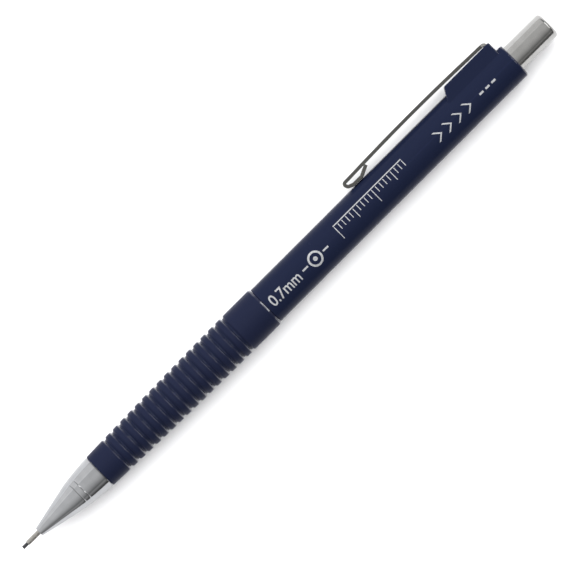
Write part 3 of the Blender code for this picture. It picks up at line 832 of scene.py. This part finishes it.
# %% Nose cone and its thread
THREAD_ROOT = 2.96
THREAD_CREST = 3.17
THREAD_PITCH = 0.75
THREAD_START = 21.5
THREAD_TURNS = 7
RIDGE_HALF = THREAD_PITCH * 0.36
RIDGE_FOOT = THREAD_ROOT - 0.05  # sunk into the tail, so that the two overlap
TAIL_BORE = 2.65
RING_STOP = 16.5
CHUCK_CHAMBER, CHUCK_CHAMBER_FRONT = 1.90, 12.7
RETAINER_CHAMBER, RETAINER_CHAMBER_FRONT = 1.60, 10.1
PIPE_SEAT, PIPE_SEAT_BACK = pipe_radius + 0.03, 9.4

nose_tail = [(SHOULDER, THREAD_ROOT), (tail_back, THREAD_ROOT)]
nose_bore = [
    (tail_back, TAIL_BORE),
    (RING_STOP, TAIL_BORE),
    (RING_STOP, CHUCK_CHAMBER),
    (CHUCK_CHAMBER_FRONT, CHUCK_CHAMBER),
    (CHUCK_CHAMBER_FRONT, RETAINER_CHAMBER),
    (RETAINER_CHAMBER_FRONT, RETAINER_CHAMBER),
    (PIPE_SEAT_BACK, PIPE_SEAT),
    (nose_front, PIPE_SEAT),
]
nose_edges = [(0.10, nose_outer[:1]), (0.12, nose_outer[-1:]), (0.03, hairline_lips), (0.15, nose_tail[1:])]
cone = turn("nose_cone_shell", nose_outer + nose_tail + nose_bore, nose_edges, sides=128)

ridge = [
    (THREAD_START - RIDGE_HALF, RIDGE_FOOT),
    (THREAD_START, THREAD_CREST),
    (THREAD_START + RIDGE_HALF, RIDGE_FOOT),
]
draw_chain("thread", [radial(*point) for point in ridge + ridge[:1]])
merge_all()
leave_edit()
thread = bpy.context.object
wind(thread, THREAD_TURNS, THREAD_PITCH)
close_ends()
cone.select_set(True)
bpy.context.view_layer.objects.active = cone
bpy.ops.object.join()
finish_piece(cone, "nose", cone_steel, "polished_steel", "nose_cone")

# %% [markdown]
# ## The ribbed grip
#
# The grip is moulded plastic. Seventeen grooves run round it, a little over 2 mm apart, and each
# groove has sloping walls and softened lips, so that it holds the fingers without cutting them.
# The grip narrows towards the point on a gentle curve, and the grooves follow it.

# %% Grip
GROOVES = 17
GROOVE_FIRST = 25.58
GROOVE_PITCH = 2.004
GROOVE_MOUTH = 0.86
GROOVE_FLOOR = 0.30
GROOVE_DEPTH = 0.38
TAPER_END = 55.0
TAPER_START = 21.7
FRONT_GRIP_RADIUS = 3.75
REAR_CHAMFER = 0.40
REAR_DROP = 0.166
TENON_SOCKET, SOCKET_FRONT = 3.62, 55.9  # the barrel's front goes in here
NUT_BORE, NUT_BACK = 3.27, 28.7  # the cone's tail goes in here
GRIP_BORE = 2.75
grip_front, grip_back, GRIP_RADIUS = span("grip")


def grip_radius(station):
    """Radius of the grip over its ribs: level at the back, and curving in towards the point."""
    share = max(0.0, (TAPER_END - station) / (TAPER_END - TAPER_START))
    return GRIP_RADIUS - (GRIP_RADIUS - FRONT_GRIP_RADIUS) * share**1.5


grip_outer = [(grip_front, grip_radius(grip_front))]
groove_lips, groove_floors = [], []
for number in range(GROOVES):
    middle = GROOVE_FIRST + number * GROOVE_PITCH
    floor = grip_radius(middle) - GROOVE_DEPTH
    edges = (middle - GROOVE_MOUTH / 2, middle + GROOVE_MOUTH / 2)
    lips = [(edge, grip_radius(edge)) for edge in edges]
    floors = [(middle - GROOVE_FLOOR / 2, floor), (middle + GROOVE_FLOOR / 2, floor)]
    grip_outer += [lips[0], *floors, lips[1]]
    groove_lips += lips
    groove_floors += floors
grip_outer += [(grip_back - REAR_CHAMFER, GRIP_RADIUS), (grip_back, GRIP_RADIUS - REAR_DROP)]
grip_bore = [
    (grip_back, TENON_SOCKET),
    (SOCKET_FRONT, TENON_SOCKET),
    (SOCKET_FRONT, GRIP_BORE),
    (NUT_BACK, GRIP_BORE),
    (NUT_BACK, NUT_BORE),
    (grip_front, NUT_BORE),
]
grip_edges = [(0.25, grip_outer[:1]), (0.15, [grip_outer[-2]]), (0.15, groove_lips), (0.05, groove_floors)]
grip = turn("ribbed_grip", grip_outer + grip_bore, grip_edges, sides=128)
finish_piece(grip, "barrel", grip_navy, "navy_plastic", "grip")

# %% [markdown]
# ## The barrel and the block that holds the clip
#
# The barrel is a plain tube of the same plastic. At its back the mould has a block standing on
# it, with a slanted front, in which the clip is anchored. The block starts as a cube, its front
# is slanted, its edges are rounded, and a Boolean union makes it one moulding with the tube. The
# flat behind it, the slot and the bore are cut afterwards, in the order that a toolmaker thinks.

# %% Helpers for cutting and joining


def place(station, height, depth=0.0):
    """A place in the upright-clip frame: station, height above the axis and depth, in mm."""
    return Vector((at(station), AXIS.y + height * MM, AXIS.z + depth * MM))


def block(name, low, high):
    """A cube between two corners, each (station, height, depth), with its place in its mesh."""
    start_piece()
    first, last = place(*low), place(*high)
    bpy.ops.mesh.primitive_cube_add(size=1.0, location=(first + last) / 2, scale=last - first)
    bpy.context.object.name = name
    bpy.ops.object.transform_apply(location=True, rotation=True, scale=True)
    return bpy.context.object


def combine(piece, tool, operation):
    """Applies a Boolean, removes its tool and merges the slivers that the cut left."""
    take(piece)
    step = piece.modifiers.new("combine", "BOOLEAN")
    step.operation = operation
    step.solver = "EXACT"
    step.object = tool
    bpy.ops.object.modifier_apply(modifier="combine")
    bpy.data.objects.remove(tool)
    bpy.ops.object.mode_set(mode="EDIT")
    merge_all()
    bpy.ops.mesh.dissolve_degenerate(threshold=MERGE)
    leave_edit()


# %% Barrel body
TENON = 3.56
SEAM = 65.25
BORE = 3.00
REAR_EDGE = 0.40
BARREL_RADIUS = 4.14
barrel_front, barrel_back, _ = span("barrel")
barrel_outline = [
    (barrel_front, 0.0),
    (barrel_front, TENON),
    (SEAM, TENON),
    (SEAM, BARREL_RADIUS),
    (barrel_back, BARREL_RADIUS),
    (barrel_back, 0.0),
]
barrel_edges = [(0.15, [barrel_outline[3]]), (REAR_EDGE, [barrel_outline[4]]), (0.3, [barrel_outline[1]])]
barrel = turn("barrel_moulding", barrel_outline, barrel_edges, loop=False, sides=128)

# %% Block for the clip
SADDLE_FRONT = 116.22
SADDLE_BACK = 130.6
SADDLE_SIDE = 3.25
SADDLE_TOP = 5.53
SADDLE_FOOT = 1.5
SADDLE_LEAN = 0.62  # how far the front leans back for each millimetre of height
SADDLE_EDGE = 0.22
saddle = block("saddle", (SADDLE_FRONT, SADDLE_FOOT, -SADDLE_SIDE), (SADDLE_BACK, SADDLE_TOP, SADDLE_SIDE))
bpy.ops.object.mode_set(mode="EDIT")
top_front = place(SADDLE_FRONT, SADDLE_TOP)
select_where(lambda co: abs(co.x - top_front.x) < MERGE and co.y > top_front.y - MERGE)
bpy.ops.transform.translate(value=(SADDLE_LEAN * (SADDLE_TOP - SADDLE_FOOT) * MM, 0.0, 0.0))
bpy.ops.mesh.select_mode(type="EDGE")
bpy.ops.mesh.select_all(action="SELECT")
bpy.ops.mesh.bevel(offset=SADDLE_EDGE * MM, segments=4, affect="EDGES")
leave_edit()
combine(barrel, saddle, "UNION")

# %% Flat, slot and bore
REAR_FLAT = 3.35
SLOT_FRONT, SLOT_BACK, SLOT_FLOOR, SLOT_HALF = 129.40, 130.28, 3.75, 2.25
PAST = 2.0  # how far a cutter reaches past the barrel's ends
CUT_TOP, CUT_SIDE = 9.0, 6.0
FLAT_FRONT = SADDLE_BACK - 0.02  # just inside the block, so that the cut leaves no thin skin
rear_cut = block("rear_cut", (FLAT_FRONT, REAR_FLAT, -CUT_SIDE), (barrel_back + PAST, CUT_TOP, CUT_SIDE))
combine(barrel, rear_cut, "DIFFERENCE")
slot_cut = block("slot_cut", (SLOT_FRONT, SLOT_FLOOR, -SLOT_HALF), (SLOT_BACK, CUT_TOP, SLOT_HALF))
combine(barrel, slot_cut, "DIFFERENCE")
bore_cut = turn("bore_cut", rod(barrel_front - PAST, barrel_back + PAST, BORE), loop=False)
combine(barrel, bore_cut, "DIFFERENCE")
finish_piece(barrel, "barrel", barrel_navy, "navy_plastic", "barrel")

# %% [markdown]
# ## The clip
#
# The clip is one strip of spring steel. Its tail goes down into the block, the strip runs
# forward over the barrel, and at the front it is folded back under itself, so that it lies on
# the barrel with a flat foot and ends in a lifted toe. The strip's middle line is a chain. Its
# bends are arcs with a radius of more than half the strip's thickness, so the inside of a bend
# doesn't fold over itself. The chain is extruded sideways, narrowed towards its nose and given
# its thickness by Solidify.

# %% The clip's middle line
CLIP_HEIGHT = 5.965
CLIP_CROWN = 0.34
CLIP_ROOT_WIDTH = 4.2
CLIP_TIP_WIDTH = 3.6
STRIP = 0.71
CROWN_STEPS = 24
CLIP_NOSE = 91.92
CLIP_FOLD = 92.75
TAIL_BEND = 0.55
TAIL_FOOT = 4.0
clip_foot = [  # corners of the folded end, each with the radius of its bend
    ((CLIP_FOLD, CLIP_HEIGHT), 0.0),
    ((CLIP_NOSE, CLIP_HEIGHT), 0.42),
    ((92.35, 4.95), 0.60),
    ((93.4, 4.51), 0.80),
    ((95.6, 4.51), 0.60),
    ((97.75, 5.55), 0.0),
]


def bend(before, corner, after, radius, steps=8):
    """The points of a bend that rounds the corner of two straight runs."""
    corner = Vector(corner)
    back_way = (Vector(before) - corner).normalized()
    on_way = (Vector(after) - corner).normalized()
    half_angle = back_way.angle(on_way) / 2
    reach = radius / math.tan(half_angle)
    centre = corner + (back_way + on_way).normalized() * radius / math.sin(half_angle)
    first = corner + back_way * reach - centre
    last = corner + on_way * reach - centre
    turned = first.angle_signed(last)
    points = []
    for i in range(steps + 1):
        angle = turned * i / steps
        spun = Vector((
            first.x * math.cos(angle) + first.y * math.sin(angle),
            first.y * math.cos(angle) - first.x * math.sin(angle),
        ))
        points.append(tuple(centre + spun))
    return points


def bends(corners):
    """The rounded line through corners, each ((station, height), radius), without its first point."""
    points = []
    for (before, _), (corner, radius), (after, _) in zip(corners, corners[1:], corners[2:]):
        points += bend(before, corner, after, radius)
    return points + [corners[-1][0]]


span_start = CLIP_TAIL - TAIL_BEND
clip_line = [(CLIP_TAIL, TAIL_FOOT)]
clip_line += bend(clip_line[0], (CLIP_TAIL, CLIP_HEIGHT), (CLIP_FOLD, CLIP_HEIGHT), TAIL_BEND)
for i in range(1, CROWN_STEPS):
    share = i / CROWN_STEPS
    station = span_start + (CLIP_FOLD - span_start) * share
    clip_line.append((station, CLIP_HEIGHT + CLIP_CROWN * math.sin(math.pi * share)))
clip_line += [clip_foot[0][0]] + bends(clip_foot)
print("points in the clip's line:", len(clip_line))

# %% Clip
CLIP_EDGE = 0.09
SHARP = math.radians(50)  # edges that turn by more than this are rounded
draw_chain("spring_clip", [place(*point) for point in clip_line])
bpy.ops.mesh.select_all(action="SELECT")
bpy.ops.transform.translate(value=(0.0, 0.0, -CLIP_ROOT_WIDTH / 2 * MM))
bpy.ops.mesh.extrude_region_move(TRANSFORM_OT_translate={"value": (0.0, 0.0, CLIP_ROOT_WIDTH * MM)})
clip = bpy.context.object
clip_mesh = bmesh.from_edit_mesh(clip.data)
for vert in clip_mesh.verts:
    share = min(1.0, (CLIP_TAIL - station_of(vert.co.x)) / (CLIP_TAIL - CLIP_NOSE))
    narrow = 1.0 - (1.0 - CLIP_TIP_WIDTH / CLIP_ROOT_WIDTH) * share
    vert.co.z = AXIS.z + (vert.co.z - AXIS.z) * narrow
bmesh.update_edit_mesh(clip.data)
leave_edit()
strip = clip.modifiers.new("strip", "SOLIDIFY")
strip.thickness = STRIP * MM
strip.offset = 0.0
strip.use_even_offset = True
bpy.ops.object.modifier_apply(modifier="strip")
edges = clip.modifiers.new("edges", "BEVEL")
edges.width = CLIP_EDGE * MM
edges.segments = 3
edges.limit_method = "ANGLE"
edges.angle_limit = SHARP
bpy.ops.object.modifier_apply(modifier="edges")
edit_all()
bpy.ops.mesh.normals_make_consistent(inside=False)
leave_edit()
finish_piece(clip, "clip", strip_steel, "spring_steel", "clip")

# %% [markdown]
# ## The cap
#
# The cap is drawn from thin steel sheet, like a tiny cup: open at the front, with a rounded rim
# at its closed end and a face that bulges slightly. Pressing it feeds the lead, and pulling it
# off uncovers the eraser.

# %% Cap
CAP_WALL = 0.30
CAP_END_WALL = 0.55
CAP_BULGE = 0.16
DOME_STEPS = 5
DOME_INSET = 0.62  # the bulge's points lie in a circle this much smaller than the cap
cap_front, cap_back, cap_radius = span("push_button")
rim_station = cap_back - CAP_BULGE
dome_radius = cap_radius - DOME_INSET
cap_outer = [(cap_front, cap_radius), (rim_station, cap_radius)]
for i in range(1, DOME_STEPS + 1):
    radius = dome_radius * (1 - i / DOME_STEPS)
    cap_outer.append((cap_back - CAP_BULGE * (radius / cap_radius) ** 2, radius))
cap_inner = [
    (cap_back - CAP_END_WALL, 0.0),
    (cap_back - CAP_END_WALL, cap_radius - CAP_WALL),
    (cap_front, cap_radius - CAP_WALL),
]
cap_outline = cap_outer[::-1] + cap_inner[::-1]
cap_edges = [(0.60, cap_outer[1:2]), (0.12, cap_outer[:1]), (0.25, cap_inner[1:2])]
cap = turn("push_cap", cap_outline, cap_edges, loop=False, sides=128)
finish_piece(cap, "cap", cap_steel, "polished_steel", "push_button")

# %% [markdown]
# ## The printed marks
#
# Marks on a barrel are stamped in silver ink, which lies on the plastic as a thin skin. Each
# mark starts flat above the barrel, as a face of its outline. It is cut into narrow bands, so
# that it can follow the round surface, its points are lowered onto the barrel, and Solidify gives
# the ink its thickness. The marks are generic: the size of the lead, a target, a scale in
# millimetres and arrows that point at the cap.

# %% Helpers for marks
INK_THICKNESS = 0.02
INK_BAND = 0.12  # width of the bands that a mark is cut into
INK_SUNK = 0.8  # Solidify's offset: most of the ink lies above the plastic, and the rest is in it
PRINT_MIDDLE = -0.33  # height of the marks' middle line above the axis
FLAT_ABOVE = 5.0  # where the marks are drawn flat before they are lowered


def flat_face(name, points):
    """A flat face above the barrel from (station, height) points."""
    draw_chain(name, [place(station, height, FLAT_ABOVE) for station, height in (*points, points[0])])
    merge_all()
    bpy.ops.mesh.edge_face_add()
    leave_edit()
    return bpy.context.object


def bar(name, front, back, low, high):
    return flat_face(name, [(front, low), (back, low), (back, high), (front, high)])


def join(name, pieces):
    take(pieces[0])
    for piece in pieces:
        piece.select_set(True)
    bpy.ops.object.join()
    pieces[0].name = name
    return pieces[0]


def stamp(piece):
    """Lays a flat mark on the barrel as a skin of ink."""
    take(piece)
    low, high = extent(piece)
    edit_all()
    bpy.ops.mesh.quads_convert_to_tris()
    cuts = int((high.y - low.y) / (INK_BAND * MM))
    for number in range(1, cuts + 1):
        bpy.ops.mesh.select_all(action="SELECT")
        height = low.y + number * (high.y - low.y) / (cuts + 1)
        bpy.ops.mesh.bisect(plane_co=(0.0, height, 0.0), plane_no=(0.0, 1.0, 0.0))
    merge_all()
    mark = bmesh.from_edit_mesh(piece.data)
    for vert in mark.verts:
        vert.co.z = AXIS.z + math.sqrt((BARREL_RADIUS * MM) ** 2 - (vert.co.y - AXIS.y) ** 2)
    for face in mark.faces:
        if face.normal.z < 0:
            face.normal_flip()
    bmesh.update_edit_mesh(piece.data)
    leave_edit()
    skin = piece.modifiers.new("skin", "SOLIDIFY")
    skin.thickness = INK_THICKNESS * MM
    skin.offset = INK_SUNK
    bpy.ops.object.modifier_apply(modifier="skin")
    finish_piece(piece, "barrel", ink, "printing_ink", smooth=50.0)


# %% Size of the lead
SIZE_FRONT, SIZE_BACK = 66.35, 73.95
SIZE_LOW, SIZE_HIGH = -1.47, 0.86
SIZE_LETTERS = 3.0
SIZE_BOLDER = 0.02  # how far the strokes are thickened
start_piece()
bpy.ops.object.text_add(location=(0.0, 0.0, 0.0))
letters = bpy.context.object
letters.name = "size_mark"
letters.data.body = "0.7mm"
letters.data.size = SIZE_LETTERS * MM
letters.data.offset = SIZE_BOLDER * MM
letters.data.resolution_u = 6
bpy.ops.object.convert(target="MESH")
size_mark = bpy.context.object
size_low, size_high = extent(size_mark)
widen = (SIZE_BACK - SIZE_FRONT) * MM / (size_high.x - size_low.x)
raise_by = (SIZE_HIGH - SIZE_LOW) * MM / (size_high.y - size_low.y)
edit_all()
bpy.ops.transform.translate(value=(-size_low.x, -size_low.y, 0.0))
bpy.ops.transform.resize(value=(widen, raise_by, 1.0), center_override=(0.0, 0.0, 0.0))
bpy.ops.transform.translate(value=place(SIZE_FRONT, SIZE_LOW, FLAT_ABOVE))
leave_edit()
stamp(size_mark)

# %% Target: a ring, its middle dot and two dashes
TARGET = 78.3
RING_OUTER, RING_INNER, DOT = 1.55, 1.15, 0.45
RING_STEPS, DOT_STEPS = 48, 24
DASH_NEAR, DASH_FAR, DASH_HALF = 2.0, 3.4, 0.17


def round_points(station, height, radius, steps):
    ways = [2 * math.pi * i / steps for i in range(steps)]
    return [(station + radius * math.cos(way), height + radius * math.sin(way)) for way in ways]


ring_parts = []
outer_ring = round_points(TARGET, PRINT_MIDDLE, RING_OUTER, RING_STEPS)
inner_ring = round_points(TARGET, PRINT_MIDDLE, RING_INNER, RING_STEPS)
for i in range(RING_STEPS):
    j = (i + 1) % RING_STEPS
    ring_parts.append(flat_face("ring", [outer_ring[i], outer_ring[j], inner_ring[j], inner_ring[i]]))
ring_parts.append(flat_face("dot", round_points(TARGET, PRINT_MIDDLE, DOT, DOT_STEPS)))
for ends in ((TARGET - DASH_FAR, TARGET - DASH_NEAR), (TARGET + DASH_NEAR, TARGET + DASH_FAR)):
    ring_parts.append(bar("dash", *ends, PRINT_MIDDLE - DASH_HALF, PRINT_MIDDLE + DASH_HALF))
stamp(join("target_mark", ring_parts))

# %% Scale in millimetres
SCALE_FRONT, SCALE_LENGTH = 85.0, 18
SCALE_TOP, SCALE_LINE = 1.72, 0.2
TICK_TOP, TICK_HALF = SCALE_TOP - 0.35, 0.08
LONG_TICKS = {0: 2.9, 5: 2.1}  # length of every tenth and fifth tick
SHORT_TICK = 1.3
scale_ends = (SCALE_FRONT - TICK_HALF, SCALE_FRONT + SCALE_LENGTH + TICK_HALF)
scale_parts = [bar("line", *scale_ends, SCALE_TOP - SCALE_LINE, SCALE_TOP)]
for number in range(SCALE_LENGTH + 1):
    middle = SCALE_FRONT + number
    foot = TICK_TOP - LONG_TICKS.get(number % 10, SHORT_TICK)
    scale_parts.append(bar("tick", middle - TICK_HALF, middle + TICK_HALF, foot, TICK_TOP))
stamp(join("millimetre_scale", scale_parts))

# %% Arrows that point at the cap
ARROWS, ARROW_FIRST, ARROW_STEP = 4, 110.6, 2.6
ARROW_REACH, ARROW_HALF, ARROW_STROKE = 1.3, 1.12, 0.42
TRAIL, TRAIL_FIRST, TRAIL_STEP = 3, 122.4, 1.6
TRAIL_LENGTH, TRAIL_HALF = 1.0, 0.2
arrow_parts = []
for number in range(ARROWS):
    front = ARROW_FIRST + ARROW_STEP * number
    reach = front + ARROW_REACH
    for side in (-1, 1):
        edge = PRINT_MIDDLE + side * ARROW_HALF
        points = [(front, edge), (front + ARROW_STROKE, edge)]
        points += [(reach + ARROW_STROKE, PRINT_MIDDLE), (reach, PRINT_MIDDLE)]
        arrow_parts.append(flat_face("arrow", points))
for number in range(TRAIL):
    front = TRAIL_FIRST + TRAIL_STEP * number
    ends = (front, front + TRAIL_LENGTH)
    arrow_parts.append(bar("dash", *ends, PRINT_MIDDLE - TRAIL_HALF, PRINT_MIDDLE + TRAIL_HALF))
stamp(join("arrow_marks", arrow_parts))

# %% [markdown]
# ## Inside the nose
#
# A rubber ring grips the lead lightly, so that it doesn't slide back when the chuck lets go. The
# chuck is a brass collet: three jaws on a hollow stem, made by turning one piece and sawing three
# slots in it. A brass ring holds the jaws shut, and both sit in a brass sleeve with a flange.

# %% Rubber ring
RETAINER_HOLE = 0.37
RETAINER_FUNNEL = 0.90
retainer_front, retainer_back, retainer_radius = span("lead_retainer")
retainer_outer = [(retainer_front, retainer_radius), (retainer_back, retainer_radius)]
retainer_bore = [
    (retainer_back, RETAINER_FUNNEL),
    ((retainer_front + retainer_back) / 2, RETAINER_HOLE),
    (retainer_front, RETAINER_HOLE),
]
retainer_edges = [(0.25, retainer_outer), (0.12, retainer_bore[:1])]
retainer = turn("rubber_ring", retainer_outer + retainer_bore, retainer_edges, sides=64)
finish_piece(retainer, "nose_front", rubber, "retainer_rubber", "lead_retainer")

# %% Chuck
JAW_FRONT_RADIUS, JAW_BACK_RADIUS = 1.50, 1.40
JAW_BACK = 20.2
JAW_BORE = 0.40
STEM_FRONT = JAW_BACK + 0.5
STEM_RADIUS = 1.14
STEM_BORE = 0.60
JAWS = 3
CHUCK_SLOT, CHUCK_SLOT_BACK = 0.30, 25.0
FIRST_SLOT = 5.0  # degrees
SAW_PAST = 1.0
chuck_front, chuck_back, chuck_lip = span("chuck")
LIP_FRONT, LIP_BACK = chuck_front + 0.25, chuck_front + 0.5
chuck_outer = [
    (chuck_front, JAW_FRONT_RADIUS),
    (LIP_FRONT, chuck_lip),
    (LIP_BACK, chuck_lip),
    (LIP_BACK, JAW_FRONT_RADIUS),
    (JAW_BACK, JAW_BACK_RADIUS),
    (STEM_FRONT, STEM_RADIUS),
    (chuck_back, STEM_RADIUS),
]
chuck_bore = [
    (chuck_back, STEM_BORE),
    (STEM_FRONT, STEM_BORE),
    (JAW_BACK, JAW_BORE),
    (chuck_front, JAW_BORE),
]
chuck_edges = [(0.06, chuck_outer[:3]), (0.1, chuck_outer[-1:])]
chuck = turn("chuck_jaws", chuck_outer + chuck_bore, chuck_edges, sides=64)
for number in range(JAWS):
    saw_low = (chuck_front - SAW_PAST, -CHUCK_SLOT / 2, 0.0)
    saw = block("saw", saw_low, (CHUCK_SLOT_BACK, CHUCK_SLOT / 2, chuck_lip + SAW_PAST))
    edit_all()
    saw_angle = math.radians(FIRST_SLOT + number * 360 / JAWS)
    bpy.ops.transform.rotate(value=saw_angle, orient_axis="X", center_override=AXIS)
    leave_edit()
    combine(chuck, saw, "DIFFERENCE")
finish_piece(chuck, "push", brass, "brass", "chuck")

# %% Clutch ring and sleeve
RING_HOLE = 1.62
CLUTCH_RADIUS = 2.58
FLANGE_FRONT, FLANGE_BACK = 27.8, 28.6
RING_ROOM = 2.15
SPRING_ROOM = 2.30
SEAT_FRONT, SEAT_BACK, SEAT_HOLE = 20.2, 21.2, 1.50  # the ledge that the spring stands on
ring_front, ring_back, ring_radius = span("clutch_ring")
ring_outline = ring(ring_front, ring_back, ring_radius, RING_HOLE)
clutch_ring = turn("jaw_ring", ring_outline, [(0.15, ring_outline)], sides=64)
finish_piece(clutch_ring, "clutch", brass, "brass", "clutch_ring")

clutch_front, clutch_back, flange_radius = span("clutch_sleeve")
clutch_outer = [
    (clutch_front, CLUTCH_RADIUS),
    (FLANGE_FRONT, CLUTCH_RADIUS),
    (FLANGE_FRONT, flange_radius),
    (FLANGE_BACK, flange_radius),
    (FLANGE_BACK, CLUTCH_RADIUS),
    (clutch_back, CLUTCH_RADIUS),
]
clutch_bore = [
    (clutch_back, SPRING_ROOM),
    (SEAT_BACK, SPRING_ROOM),
    (SEAT_BACK, SEAT_HOLE),
    (SEAT_FRONT, SEAT_HOLE),
    (SEAT_FRONT, RING_ROOM),
    (clutch_front, RING_ROOM),
]
clutch_edges = [clutch_outer[0], clutch_outer[2], clutch_outer[3], clutch_outer[5]]
clutch_sleeve = turn("clutch_tube", clutch_outer + clutch_bore, [(0.1, clutch_edges)])
finish_piece(clutch_sleeve, "barrel", brass, "brass", "clutch_sleeve")

# %% [markdown]
# ## The return spring
#
# A compression spring has a close turn at each end, so that it stands square, and open turns
# between. The wire's round section is wound three times: one close turn, six open turns and one
# close turn. The three tubes meet exactly, so their seams are merged into one wire. The spring
# shortens when the cap is pressed.

# %% Return spring
WIRE = 0.17
COIL = 1.95
WIRE_SIDES = 12
SEAM_MERGE = 0.002
SPRING_FRONT, SPRING_BACK = 21.25, 33.95
CLOSE_CLIMB = 2.3 * WIRE
OPEN_TURNS = 6
open_front = SPRING_FRONT + WIRE + CLOSE_CLIMB
open_back = SPRING_BACK - WIRE - CLOSE_CLIMB
windings = [
    (SPRING_FRONT + WIRE, 1, CLOSE_CLIMB),
    (open_front, OPEN_TURNS, (open_back - open_front) / OPEN_TURNS),
    (open_back, 1, CLOSE_CLIMB),
]
UPRIGHT = (math.pi / 2, 0.0, 0.0)  # stands the wire's section across the coil
coils = []
for station, turns, climb in windings:
    start_piece()
    bpy.ops.mesh.primitive_circle_add(vertices=WIRE_SIDES, radius=WIRE * MM, rotation=UPRIGHT)
    bpy.context.object.location = radial(station, COIL)
    bpy.ops.object.transform_apply(location=True, rotation=True, scale=True)
    coils.append(bpy.context.object)
    wind(coils[-1], turns, climb)
spring = join("coil_spring", coils)
bpy.ops.object.mode_set(mode="EDIT")
merge_all(SEAM_MERGE * MM)
leave_edit()
close_ends()
finish_piece(spring, "barrel", wire, "spring_steel", "return_spring", smooth=60.0)
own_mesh(spring)

# %% [markdown]
# ## The lead tube and what it holds
#
# Behind the chuck is a moulded connector, then a tube full of spare leads. The tube ends in a
# brass cup that holds the eraser, and the cap slides over that cup.

# %% Connector
connector_front, connector_back, shoulder_radius = span("chuck_connector")
CONNECTOR_RADIUS = 1.54
SHOULDER_FRONT, SHOULDER_BACK = 34.0, 36.0
PLUG_RADIUS, PLUG_WALL = 1.74, 0.4
FUNNEL = 1.5  # the bore narrows over this length, so that a spare lead finds its way in
STEM_SOCKET, STEM_SOCKET_BACK = 1.20, 31.5
connector_outer = [
    (connector_front, CONNECTOR_RADIUS),
    (SHOULDER_FRONT, CONNECTOR_RADIUS),
    (SHOULDER_FRONT, shoulder_radius),
    (SHOULDER_BACK, shoulder_radius),
    (SHOULDER_BACK, PLUG_RADIUS),
    (connector_back, PLUG_RADIUS),
]
connector_bore = [
    (connector_back, PLUG_RADIUS - PLUG_WALL),
    (connector_back - FUNNEL, STEM_BORE),
    (STEM_SOCKET_BACK, STEM_BORE),
    (STEM_SOCKET_BACK, STEM_SOCKET),
    (connector_front, STEM_SOCKET),
]
connector_edges = [connector_outer[0], connector_outer[2], connector_outer[3], connector_outer[5]]
connector = turn("connector", connector_outer + connector_bore, [(0.12, connector_edges)], sides=64)
finish_piece(connector, "push", acetal, "connector_plastic", "chuck_connector")

# %% Lead tube and spare leads
TUBE_BORE = 1.80
SPARES = 3
tube_front, tube_back, tube_radius = span("lead_tube")
tube_outline = ring(tube_front, tube_back, tube_radius, TUBE_BORE)
tube = turn("store_tube", tube_outline, [(0.1, tube_outline)], sides=64)
finish_piece(tube, "push", tube_plastic, "tube_plastic", "lead_tube")

for number in range(1, SPARES + 1):
    node = f"spare_lead_{number}"
    spare_low, spare_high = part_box(node)
    spare_outline = rod(*span(node))
    stick = turn(f"spare_stick_{number}", spare_outline, [(0.05, spare_outline[1:3])], loop=False, sides=24)
    away_from_axis = (spare_low + spare_high) / 2 - AXIS
    shift((0.0, away_from_axis.y, away_from_axis.z))
    finish_piece(stick, "push", graphite, "graphite", node)

# %% Eraser and its holder
HOLDER_SOCKET = 2.20
LEDGE_FRONT, LEDGE_BACK, LEDGE_HOLE = 123.1, 124.4, 1.50
HOLDER_CUP = 2.02
holder_front, holder_back, holder_radius = span("eraser_holder")
holder_outer = [(holder_front, holder_radius), (holder_back, holder_radius)]
holder_bore = [
    (holder_back, HOLDER_CUP),
    (LEDGE_BACK, HOLDER_CUP),
    (LEDGE_BACK, LEDGE_HOLE),
    (LEDGE_FRONT, LEDGE_HOLE),
    (LEDGE_FRONT, HOLDER_SOCKET),
    (holder_front, HOLDER_SOCKET),
]
holder = turn("eraser_cup", holder_outer + holder_bore, [(0.08, holder_outer)])
finish_piece(holder, "push", brass, "brass", "eraser_holder")

eraser_outline = rod(*span("eraser"))
eraser_edges = [(0.2, eraser_outline[1:2]), (0.55, eraser_outline[2:3])]
eraser = turn("eraser_stick", eraser_outline, eraser_edges, loop=False)
finish_piece(eraser, "eraser", vinyl, "eraser_vinyl", "eraser")
